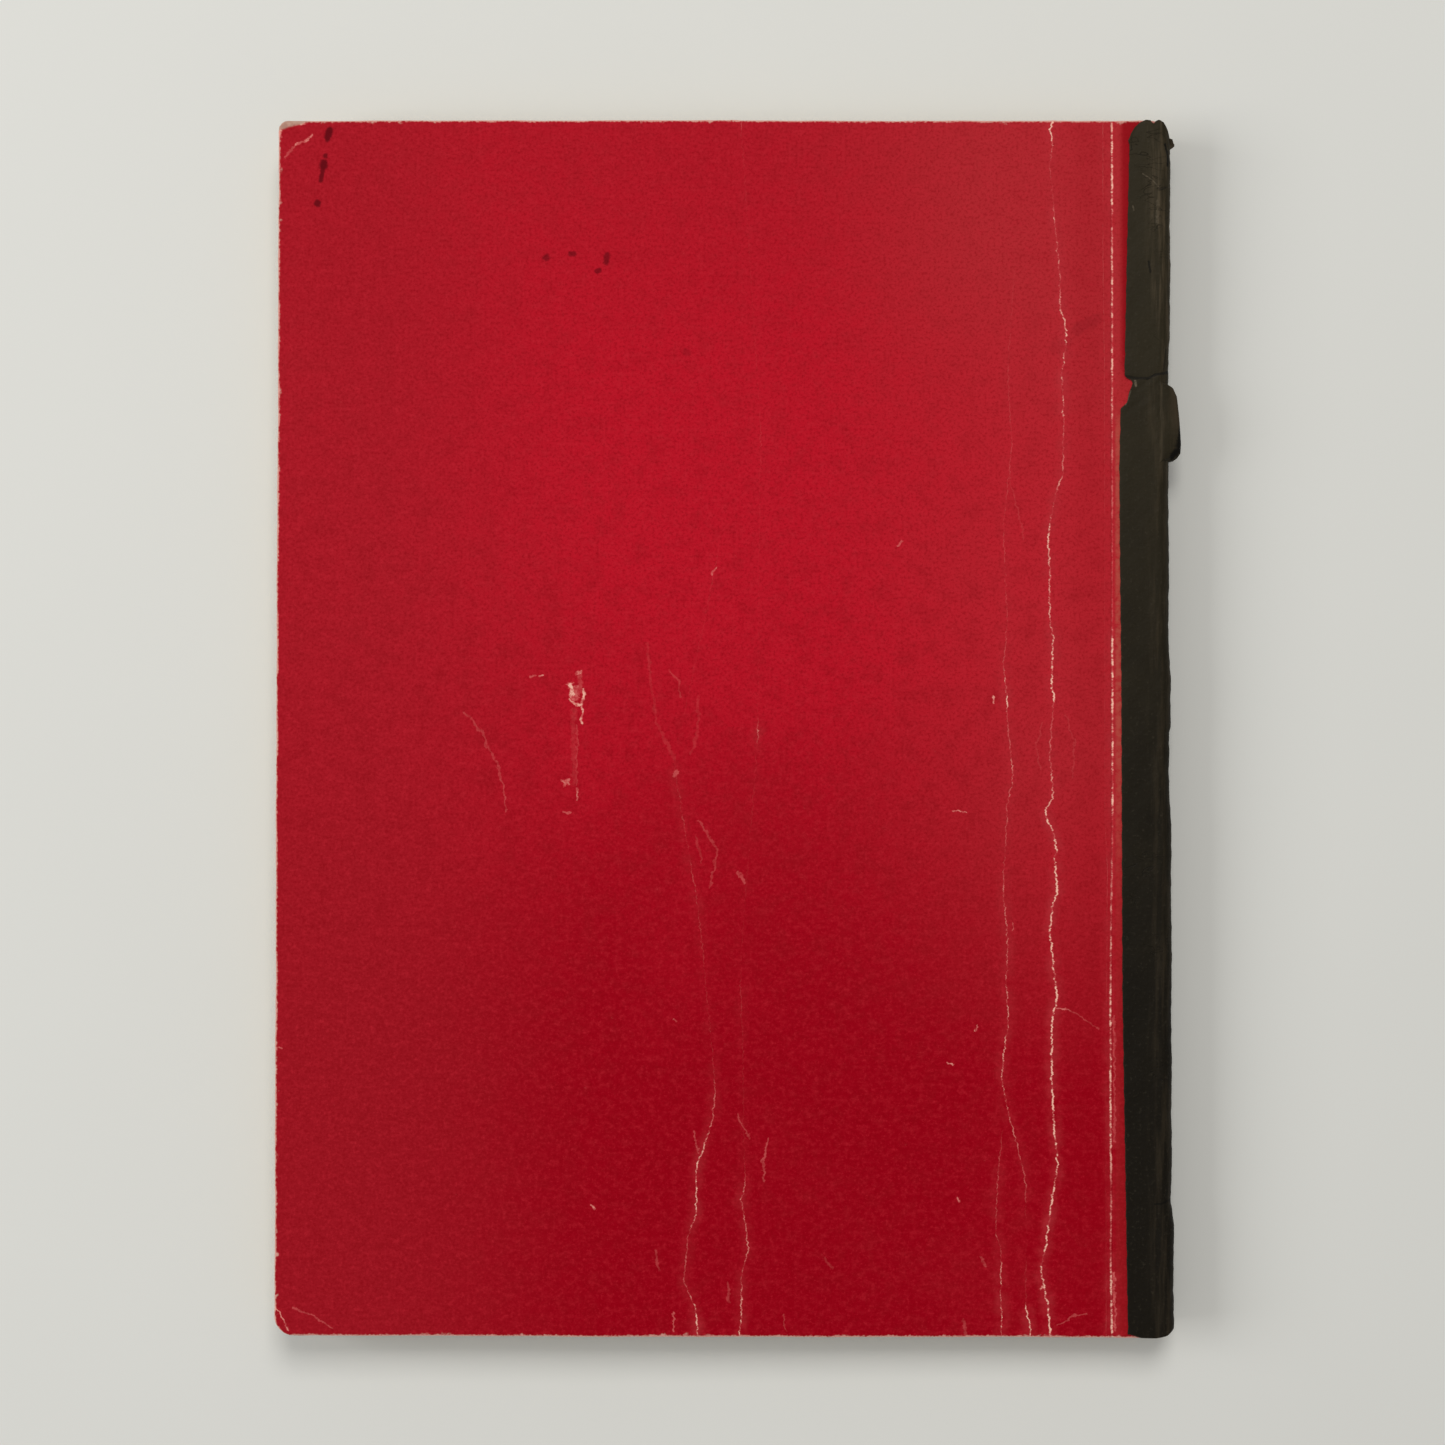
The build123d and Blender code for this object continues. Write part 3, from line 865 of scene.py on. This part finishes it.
def patched_card(x, y):
    """The back cover's materials, and for each cell of its grid which of them it has."""
    across = (x[:-1, :-1] + x[1:, 1:]) / 2
    up = (y[:-1, :-1] + y[1:, 1:]) / 2
    column, row = np.searchsorted(PATCH_X, across), np.searchsorted(PATCH_Y, up)
    patches = np.zeros(across.shape, int)
    edges_x, edges_y = (FORE - 1, *PATCH_X, BINDING_END + 1), (TAIL - 1, *PATCH_Y, HEAD + 1)
    known, faces = {}, []
    for i in range(len(edges_x) - 1):
        for j in range(len(edges_y) - 1):
            low, high = (edges_x[i], edges_y[j]), (edges_x[i + 1], edges_y[j + 1])
            creases = [c for c in CARD_CREASES if near_patch([(p[1], p[0]) for p in c[0]], low, high)]
            scratches = [m for m in SCRATCHES + SCUFF if near_patch(m[0], low, high)]
            stains = [m for m in STAINS if near_patch(m[0], low, high)]
            key = str((creases, scratches, stains))
            if key not in known:
                known[key] = len(faces)
                faces.append(red_card(f"red_card_{len(faces)}", creases, scratches, stains))
            patches[(column == i) & (row == j)] = known[key]
    return faces, patches


card_edge = board("card_edge", (0.66, 0.42, 0.32), False)
card_inside = board("card_inside", BOARD, True)
paper = page_paper("page_paper", True)
paper_edge = page_paper("page_edge", False)
tape_face = leathery_tape()
tape_edge = torn_paper()
tape_sides = (tape_edge, tape_edge, tape_face)
steel = tarnished_steel()


# ---------------------------------------------------------------- covers

def spine_drop(x, radius):
    """How far the card has rolled over towards the spine's face."""
    into = np.clip(x - (BINDING_END - radius), 0, radius * 0.995)
    return radius - np.sqrt(radius ** 2 - into ** 2)


def cover_plan(corner_tail, corner_head, folds, seed):
    """The grid of a cover in plan: x and y of each point, and its distance from the worn outline.

    folds are creases that columns of points follow, from the fore edge to the spine.
    """
    zones = [HINGE - distance for distance in reversed(COVER_FOLDS)]
    fine = np.concatenate([np.linspace(a, b, 9)[:-1] for a, b in zip(zones, zones[1:])])
    roll_start = 48.6
    columns = [spread(FORE, zones[0] - 0.15, 1.5)[:-3], fine, [zones[-1]]]
    columns.append(np.linspace(zones[-1] + 0.3, roll_start, 9))
    columns.append(BINDING_END - (BINDING_END - roll_start) * (1 - np.linspace(0.08, 1, 12)) ** 1.4)
    for middle, _ in folds:
        columns.append(middle + np.array([-0.8, -0.45, -0.25, -0.12, 0, 0.12, 0.25, 0.45, 0.8]))
    columns = np.unique(np.round(np.concatenate(columns), 3))
    rows = spread(TAIL, HEAD, ROW_STEP)
    y, x = np.meshgrid(rows, columns, indexing="ij")

    # Columns follow the creases.
    anchors = [FORE] + [middle for middle, _ in folds] + [HINGE - 1.0, BINDING_END]
    shifts = [np.zeros_like(rows)] + [follow(path, rows) - middle for middle, path in folds]
    shifts += [np.zeros_like(rows)] * 2
    shift = np.array([np.interp(columns, anchors, [s[i] for s in shifts]) for i in range(len(rows))])
    plain_x = x
    x = x + shift

    # The fore edge and its corners
    inset = worn_edge(rows, 0.10, seed) + corner_inset(rows - TAIL, corner_tail)
    inset = inset + corner_inset(HEAD - rows, corner_head)
    x = x + inset[:, None] * near(plain_x - FORE, 7)

    # The head and tail edges, and the spine's corners
    plain_y = y
    tail_inset = worn_edge(columns, 0.10, seed + 1) + corner_inset(BINDING_END - columns, TAIL_ROUND)
    head_inset = worn_edge(columns, 0.10, seed + 2) + corner_inset(BINDING_END - columns, HEAD_ROUND)
    y = y + tail_inset[None, :] * near(plain_y - TAIL, 6)
    y = y - head_inset[None, :] * near(HEAD - plain_y, 6)
    rim = np.minimum(plain_x - FORE, np.minimum(plain_y - TAIL, HEAD - plain_y))
    return x, y, rim, columns


def make_cover(name, x, y, rim, columns, under, over, faces, patches, bodies, outward):
    """Three pieces of one card, which meet where the next one's fold begins.

    bodies name the binding, the inner stack, the outer stack and the cover; they are not used.
    """
    top = np.stack([x, y, over], -1)
    bottom = np.stack([x, y, under], -1)
    cuts = [HINGE - distance for distance in COVER_FOLDS]
    at = [int(np.argmin(abs(columns - cut))) for cut in cuts]
    last = len(columns) - 1
    parts = [
        (f"{name}_bound_strip", at[1], last, bodies[0], bodies[1], cuts[0], cuts[1], f"{name}_bound_edge"),
        (f"{name}_fold", at[2], at[1], bodies[1], bodies[2], cuts[1], cuts[2], None),
        (f"{name}_card", 0, at[2], bodies[2], bodies[3], cuts[2], cuts[3], name),
    ]
    materials = (card_edge, card_inside, *faces) if outward > 0 else (card_edge, faces[0], card_inside)
    for label, first, end, body_a, body_b, start, stop, node in parts:
        part = slice(first, end + 1)
        chosen = patches[:, first:end] if patches is not None else None
        piece = closed_mesh(label, top[:, part], bottom[:, part], rim[:, part], materials, chosen)
        start * MM
        stop * MM
        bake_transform(piece)
        if node:
            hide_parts(node)


def crease_relief(x, y, path, height, reach=0.35):
    """The small ridge of broken card along a crease."""
    return follow(path, y, 2) * height * hump(x - follow(path, y), reach)


def back_cover():
    folds = [(-3.5, FOLD_A), (1.9, FOLD_B), (32.0, SECOND_CRACK), (37.2, MAIN_CRACK)]
    x, y, rim, columns = cover_plan(2.3, 1.1, folds, 11)
    level = BACK_TOP + lift(len(LEAF_NAMES) + 1, x, y)
    level += crease_relief(x, y, MAIN_CRACK, 0.045) + crease_relief(x, y, SECOND_CRACK, 0.03)
    level += crease_relief(x, y, FOLD_A, 0.03) + crease_relief(x, y, FOLD_B, 0.03)
    # Folding has left the card slightly hollow between the main crack and the score line.
    level -= 0.05 * hump(x - 41.0, 2.2)
    # The score line is a groove.
    level -= 0.05 * hump(x - SCORE, 0.14)
    # The tail corner at the fore edge has been bent and flattened again.
    corner = np.hypot(x - FORE, y - TAIL)
    level += 0.22 * smooth((3.6 - corner) / 3.0)
    level -= spine_drop(x, BACK_ROLL)
    over = level - 0.07 * (1 - smooth(rim / 0.16))
    under = level - CARD + 0.04 * (1 - smooth(rim / 0.12))
    bodies = ("binding", "third_stack", "fourth_stack", "back_cover")
    faces, patches = patched_card(x, y)
    make_cover("back_cover", x, y, rim, columns, under, over, faces, patches, bodies, 1)


def front_cover():
    folds = [(32.0, SECOND_CRACK)]
    x, y, rim, columns = cover_plan(1.6, 1.4, folds, 23)
    level = FRONT_TOP + lift(0, x, y)
    level += spine_drop(x, FRONT_ROLL)
    over = level - 0.04 * (1 - smooth(rim / 0.12))
    under = level - CARD + 0.07 * (1 - smooth(rim / 0.16))
    bodies = ("binding", "second_stack", "first_stack", "front_cover")
    make_cover("front_cover", x, y, rim, columns, under, over, [front_red], None, bodies, -1)


# ---------------------------------------------------------------- leaves

def leaf_trim(number):
    """A leaf's fore, tail and head edges, out of line with its neighbours', and its random draws."""
    turn = np.random.default_rng(100 + number)
    fore = LEAF_FORE + turn.uniform(-0.08, 0.12)
    head = LEAF_HEAD - turn.uniform(0.0, 0.12)
    tail = LEAF_TAIL + turn.uniform(0.0, 0.12)
    return fore, tail, head, turn


def leaf_plan(number, start, end, step):
    """A leaf's grid in plan from one x to another."""
    fore, tail, head, turn = leaf_trim(number)
    if start is None:
        columns = spread(fore, end, step, (0.15, 0.5, 1.2, 2.5))
    else:
        columns = np.linspace(start, end, max(2, round(abs(end - start) / step) + 1))
    rows = spread(tail, head, 8.0, (0.15, 0.5, 1.2, 2.5))
    y, x = np.meshgrid(rows, columns, indexing="ij")
    corner = turn.uniform(0.7, 1.3)
    inset = corner_inset(rows - tail, corner) + corner_inset(head - rows, corner)
    x = x + inset[:, None] * near(x - fore, 5)
    rim = np.minimum(x - fore, np.minimum(y - tail, head - y)).clip(0)
    return x, y, rim, turn.uniform(0, 1)


def leaf_grid(number, start, end, step):
    """A leaf's top, underside and rim between two places along X."""
    x, y, rim, tint = leaf_plan(number, start, end, step)
    level = LEAF_LEVELS[number - 1] + lift(number, x, y)
    top = np.stack([x, y, level + LEAF_THICKNESS], -1)
    bottom = np.stack([x, y, level], -1)
    return top, bottom, rim, tint


def sheet(name, top, bottom, rim, tint, sides=paper):
    """A mesh of paper. The tint is one number by which it differs from its neighbours."""
    piece = closed_mesh(name, top, bottom, rim, (paper_edge, sides, sides))
    stored = piece.data.attributes.new("tint", "FLOAT", "POINT")
    stored.data.foreach_set("value", np.full(len(piece.data.vertices), tint, np.float32))
    return piece


def make_leaf(number):
    stack = (number - 1) // LEAVES_PER_STACK
    flap_end = HINGE - 0.05
    if stack in (1, 2):
        end, fold_start, fold_end = flap_end, flap_end, HINGE - LEAF_FOLD
    else:
        end, fold_start, fold_end = HINGE - GUTTER, HINGE - GUTTER, HINGE - OUTER_FOLD
    flat = leaf_grid(number, None, fold_end, 9.0)
    bend = leaf_grid(number, fold_end, end, 0.45)
    top, bottom = (np.concatenate([a, b[:, 1:]], axis=1) for a, b in zip(flat[:2], bend[:2]))
    rim = np.concatenate([flat[2], bend[2][:, 1:]], axis=1)
    piece = sheet(f"page_{number:02d}", top, bottom, rim, flat[3])
    fold_start * MM
    fold_end * MM
    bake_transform(piece)
    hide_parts(LEAF_NAMES[number - 1])


def join(name, parts):
    """Joins several objects into one."""
    bpy.ops.object.select_all(action="DESELECT")
    for part in parts:
        part.select_set(True)
    bpy.context.view_layer.objects.active = parts[0]
    bpy.ops.object.join()
    parts[0].name = name
    parts[0].data.name = name
    return parts[0]


def make_gutter(name, numbers):
    """The bound ends of an outer stack's leaves, from the binding to where that stack's own fold begins."""
    parts = []
    for number in numbers:
        grid = leaf_grid(number, HINGE - GUTTER, HINGE - 0.05, 0.2)
        parts.append(sheet(f"{name}_{number}", *grid))
    piece = join(name, parts)
    (HINGE - 0.05) * MM
    (HINGE - GUTTER) * MM
    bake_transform(piece)


def bound_block():
    """The leaves' bound edges, cut back where the spine is rounded."""
    parts = []
    for number, level in enumerate(LEAF_LEVELS, start=1):
        down = BACK_UNDER - (level + LEAF_THICKNESS)
        up = level - FRONT_TOP
        reach = BINDING_END - 0.03
        for room, radius in ((down, BACK_ROLL), (up, FRONT_ROLL)):
            if room < radius:
                across = math.sqrt(radius ** 2 - (radius - room) ** 2)
                reach = min(reach, BINDING_END - radius + across - 0.05)
        _, tail, head, turn = leaf_trim(number)
        columns = np.linspace(HINGE - 0.05, reach, 14)
        rows = spread(tail, head, 20.0, (0.3, 1.0, 2.0, 4.0))
        y, x = np.meshgrid(rows, columns, indexing="ij")
        y = y + corner_inset(BINDING_END - x, TAIL_ROUND) * near(y - tail, 6)
        y = y - corner_inset(BINDING_END - x, HEAD_ROUND) * near(head - y, 6)
        rim = np.minimum(y - tail, head - y).clip(0)
        top = np.stack([x, y, np.full_like(x, level + LEAF_THICKNESS)], -1)
        bottom = np.stack([x, y, np.full_like(x, level)], -1)
        parts.append(sheet(f"bound_{number}", top, bottom, rim, turn.uniform(0, 1), paper_edge))
    piece = join("bound_leaf_edges", parts)
    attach(piece, "binding")
    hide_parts("leaf_bound_edges")


# ---------------------------------------------------------------- spine tape

# The tape's edge on the back cover, from head to tail: (y, x)
TAPE_EDGE_LINE = [
    (69.9, 45.9), (67.7, 46.0), (55.0, 45.7), (40.6, 45.4), (40.2, 45.45), (39.9, 46.35), (39.3, 46.2),
    (37.2, 45.6), (36.6, 44.95), (30.0, 44.8), (20.0, 44.85), (5.0, 45.0), (-31.0, 45.1), (-50.0, 45.4),
    (-69.9, 45.7),
]
# How far the head end of the tape stops short of the head, across the back: (x, gap)
HEAD_END_LINE = [(45.9, 2.3), (46.2, 1.5), (46.6, 0.85), (47.2, 0.3), (47.9, 0.0), (48.4, 0.1), (48.7, 0.55),
                 (49.0, 0.15), (49.4, 0.0), (49.9, 0.3), (50.3, 1.0), (50.65, 2.0)]
TAIL_END_LINE = [(45.9, 0.45), (47.15, 0.05), (48.9, 0.0), (50.0, 0.25), (50.65, 1.0)]
# The tear across the back, from its edge to the spine: (x, y)
TEAR_LINE = [(45.4, 40.25), (46.6, 39.95), (47.85, 40.05), (48.9, 40.3), (50.0, 40.6), (50.65, 40.9)]


def wrap_profile(edge_back, edge_front, columns):
    """The tape's outer face round the spine: points, and the way out from each.

    Columns count from 0 at the edge on the back, with 1 for each part of the way: the back, its roll-over,
    the spine's side, the front's roll-over and the front.
    """
    back, front = BACK_ROLL + TAPE, FRONT_ROLL + TAPE
    top, low = TAPE_TOP, TAPE_BOTTOM
    side = (top - back) - (low + front)
    flat_back, flat_front = SPINE - back - edge_back, SPINE - front - edge_front
    spans = [flat_back, back * math.pi / 2, side, front * math.pi / 2, flat_front]
    marks = np.concatenate([[0], np.cumsum(spans)])
    place = np.interp(columns, np.arange(6), marks)
    points = np.zeros((len(columns), 2))
    normals = np.zeros((len(columns), 2))
    for i, s in enumerate(place):
        if s <= marks[1]:
            points[i], normals[i] = (edge_back + s, top), (0, 1)
        elif s <= marks[2]:
            angle = (s - marks[1]) / back
            normals[i] = (math.sin(angle), math.cos(angle))
            points[i] = (SPINE - back + back * normals[i][0], top - back + back * normals[i][1])
        elif s <= marks[3]:
            points[i], normals[i] = (SPINE, top - back - (s - marks[2])), (1, 0)
        elif s <= marks[4]:
            angle = (s - marks[3]) / front
            normals[i] = (math.cos(angle), -math.sin(angle))
            points[i] = (SPINE - front + front * normals[i][0], low + front + front * normals[i][1])
        else:
            points[i], normals[i] = (SPINE - front - (s - marks[4]), low), (0, -1)
    return points, normals


def spine_tape():
    """One strip wrapped round the spine, with its lobe and its crumb.

    The mesh is whole where the tape has torn across: apart from the notch at its edge, the tear is a painted
    shadow, a dark line in the material.
    """
    columns = np.concatenate([
        [0, 0.02, 0.05], np.linspace(0.10, 0.95, 16), np.linspace(1, 2, 13),
        np.linspace(2.08, 2.92, 10), np.linspace(3, 4, 9), np.linspace(4.1, 5, 8),
    ])
    # Rows of points come closer together at the tear, and lie at the corners of the notch.
    rows = spread(TAIL, HEAD, ROW_STEP, (0.08, 0.2, 0.45, 0.9))
    tear_rows = np.array([-0.5, -0.25, -0.12, -0.04, 0.16, 0.24, 0.4, 0.7])
    tear_middle = 40.2
    rows = rows[abs(rows - tear_middle) > 0.8]
    rows = np.sort(np.concatenate([rows, tear_middle + tear_rows, [39.55, 39.35, 37.5, 37.0, 36.8, 36.5]]))
    outer = np.zeros((len(rows), len(columns), 3))
    normal = np.zeros_like(outer)
    for i, row in enumerate(rows):
        edge = follow(TAPE_EDGE_LINE, row) + 0.05 * math.sin(row * 2.9) * math.sin(row * 0.7)
        points, normals = wrap_profile(edge, TAPE_EDGE + 0.1 * math.sin(row * 0.09), columns)
        outer[i, :, 0], outer[i, :, 2] = points[:, 0], points[:, 1]
        normal[i, :, 0], normal[i, :, 2] = normals[:, 0], normals[:, 1]
        outer[i, :, 1] = row

    # Ends, and the slant of the tear
    x, y, z = outer[..., 0].copy(), outer[..., 1].copy(), outer[..., 2].copy()
    on_back = smooth((z - (TAPE_TOP - 3.0)) / 1.5)
    head_short = follow(HEAD_END_LINE, x) * on_back
    head_short += corner_inset(SPINE - x, HEAD_ROUND) * (1 - on_back)
    tail_short = follow(TAIL_END_LINE, x) * on_back
    tail_short += corner_inset(SPINE - x, TAIL_ROUND) * (1 - on_back)
    y_new = y - head_short * near(HEAD - y, 5) + tail_short * near(y - TAIL, 5)
    slant = follow(TEAR_LINE, x) - tear_middle
    y_new = y_new + slant * near(abs(y - tear_middle), 3)
    outer[..., 1] = y_new

    # Wrinkles, a pillowed roll-over, and the marks of the staples beneath
    puff = 0.035 * np.sin(y * 0.55 + 1.3 * np.sin(y * 0.13)) * np.sin(x * 1.7 + 0.4)
    puff += 0.03 * np.sin(y * 1.9 + x * 2.2) * np.sin(y * 0.31)
    puff += 0.02 * np.sin(y * 3.7 - x * 3.1 + z)
    for middle in (STAPLE_MIDDLE, -STAPLE_MIDDLE):
        for leg in (-6.3, 6.3):
            bump = hump(y - middle - leg, 0.6) * hump(x - STAPLE_LINE, 0.6)
            puff += 0.06 * bump * (normal[..., 2] > 0.9)
    lifted = near(abs(y - tear_middle - 1.2), 1.3) * (y > tear_middle) * on_back
    puff += 0.20 * lifted * smooth((48.5 - x) / 3 + 0.6)
    puff -= 0.03 * near(x - np.min(x, axis=1, keepdims=True), 0.35)
    # Along the spine the tape stands off near the head, for a short way above the middle and towards the
    # tail, most of all below a dent.
    outward = normal[..., 0].clip(0)
    puff += 0.20 * outward * smooth((y - 43.0) / 4)
    puff += 0.22 * outward * smooth((y + 0.6) / 0.6) * smooth((9.0 - y) / 4)
    puff += 0.26 * outward * smooth((-4.0 - y) / 10)
    puff += 0.22 * outward * smooth((-54.0 - y) / 3.5)
    puff -= 0.14 * outward * hump(y + 54.3, 0.9)
    # On the flat sides it stays within the room that a cover turned right over leaves it.
    facing = normal[..., 2]
    puff = np.minimum(puff, np.where(facing < 0, 0.02, 0.05) + 1 - abs(facing))
    outer += normal * puff[..., None]
    inner = outer - normal * (TAPE * 0.92)

    # How far each column is along the strip
    edge_distance = np.interp(columns, np.arange(6), [0, 4.0, 6.4, 10.0, 11.6, 15.5])
    rim = np.minimum(edge_distance, edge_distance[-1] - edge_distance)[None, :] + np.zeros((len(rows), 1))
    ends = np.minimum(rows - TAIL, HEAD - rows)[:, None]
    rim = np.minimum(rim, ends)
    torn = np.abs(rows - (tear_middle + 0.06))[:, None] - 0.08
    rim = np.where(columns[None, :] < 1.55, np.minimum(rim, torn.clip(0)), rim)
    wrap = closed_mesh("spine_tape_wrap", outer, inner, rim, tape_sides)
    piece = join("spine_tape_wrap", [wrap, tape_lobe(), tape_crumb()])
    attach(piece, "binding")
    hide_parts("spine_tape")


# The lobe's reach from the spine along Y: (y, x)
LOBE_OUTLINE = [
    (30.45, 50.3), (30.65, 51.2), (31.0, 51.6), (31.6, 51.95), (32.7, 52.0), (35.6, 51.75), (38.1, 51.5),
    (39.15, 51.05), (39.6, 50.3),
]


def tape_lobe():
    """The loose piece of tape that has curled out from the spine and back under itself."""
    rows = np.linspace(LOBE_OUTLINE[0][0], LOBE_OUTLINE[-1][0], 48)
    turns = np.linspace(0, 1, 34)
    outer = np.zeros((len(rows), len(turns), 3))
    start = 49.3
    for i, row in enumerate(rows):
        reach = follow(LOBE_OUTLINE, row) - start
        sag = 0.30 + 0.35 * smooth((35.0 - row) / 4)
        radius = min(0.5, reach * 0.4)
        flat = (turns / 0.5).clip(0, 1)
        angle = ((turns - 0.5) / 0.5).clip(0, 1) * math.radians(200)
        x = start + (reach - radius) * flat + radius * np.sin(angle)
        z = TAPE_TOP + 0.16 * smooth(flat * 4) - 0.10 - sag * flat ** 2 - radius * (1 - np.cos(angle))
        outer[i, :, 0], outer[i, :, 1], outer[i, :, 2] = x, row + 0.12 * np.sin(turns * 5 + row), z
    across = np.gradient(outer, axis=1)
    along = np.gradient(outer, axis=0)
    out = np.cross(across, along)
    out /= np.linalg.norm(out, axis=-1, keepdims=True).clip(1e-9)
    inner = outer - out * 0.13
    rim = np.minimum(rows - rows[0], rows[-1] - rows)[:, None] + np.zeros((1, len(turns)))
    rim = np.minimum(rim, (1 - turns)[None, :] * 4)
    return closed_mesh("lobe", outer, inner, rim, tape_sides)


def tape_crumb():
    """A crumb of tape that hangs on at the head end of the spine."""
    low, high = 66.6, 68.0
    y, u = np.meshgrid(np.linspace(low, high, 9), np.linspace(0, 1, 7), indexing="ij")
    bulge = np.sin((y - low) / (high - low) * math.pi).clip(0) ** 0.6
    x = 50.2 + u * 1.15 * (0.35 + 0.65 * bulge) + 0.08 * np.sin(y * 9)
    z = 5.0 + 0.25 * np.sin(y * 4) - 0.3 * u
    top = np.stack([x, y, z + 0.16 + 0.1 * np.sin(u * 3)], -1)
    bottom = np.stack([x, y, z - 0.10], -1)
    rim = np.minimum(np.minimum(y - low, high - y), 1 - u).clip(0)
    return closed_mesh("crumb", top, bottom, rim, tape_sides)


# ---------------------------------------------------------------- making

back_cover()
front_cover()
for leaf_number in range(1, len(LEAF_NAMES) + 1):
    make_leaf(leaf_number)
make_gutter("first_stack_gutter", range(1, LEAVES_PER_STACK + 1))
make_gutter("fourth_stack_gutter", range(3 * LEAVES_PER_STACK + 1, 4 * LEAVES_PER_STACK + 1))
bound_block()
spine_tape()
for staple in ("head_staple", "tail_staple"):
    mesh = frame["nodes"][staple].data
    mesh.materials.clear()
    mesh.materials.append(steel)


# ---------------------------------------------------------------- floor, light and camera

def pale_floor():
    look = Look("pale_floor", Specular_IOR_Level=0.1)
    point = look.place()
    soft = look.noise(point, 0.05, 2.0, 0.5)
    return look.finish(look.mix(soft, (0.74, 0.735, 0.70), (0.76, 0.755, 0.72)), look.number(0.9))


bpy.ops.mesh.primitive_plane_add(size=6)
floor = bpy.context.object
floor.name = "floor"
floor.location.z = -0.00002
floor.data.materials.append(pale_floor())

world = bpy.data.worlds.new("soft_room")
bpy.context.scene.world = world
world.use_nodes = True
background = world.node_tree.nodes["Background"]
background.inputs["Color"].default_value = (1.0, 1.0, 0.985, 1.0)
background.inputs["Strength"].default_value = 0.33


def soft_light(name, place, side, power, colour):
    """A square area light that faces the notebook."""
    data = bpy.data.lights.new(name, "AREA")
    data.shape = "SQUARE"
    data.size = side
    data.energy = power
    data.color = colour
    light = bpy.data.objects.new(name, data)
    light.location = place
    light.rotation_mode = "QUATERNION"
    light.rotation_quaternion = (-Vector(place)).to_track_quat("-Z", "Y")
    bpy.context.scene.collection.objects.link(light)


soft_light("low_window", (-0.80, 0.02, 0.50), 0.5, 4.2, (0.97, 0.99, 1.0))
soft_light("high_window", (0.06, 0.52, 0.82), 0.4, 3.9, (1.0, 0.985, 0.95))

field_of_view = math.radians(32.0)
camera_data = bpy.data.cameras.new("camera")
camera_data.sensor_width = 36.0
camera_data.lens = camera_data.sensor_width / 2 / math.tan(field_of_view / 2)
camera_data.clip_start = 0.01
camera = bpy.data.objects.new("camera", camera_data)
camera.location = (0.00272, -0.00339, 0.29549)
camera.rotation_euler = (math.radians(0.766), math.radians(0.684), math.radians(0.069))
bpy.context.scene.collection.objects.link(camera)
bpy.context.scene.camera = camera
bpy.context.scene.view_settings.view_transform = "Standard"
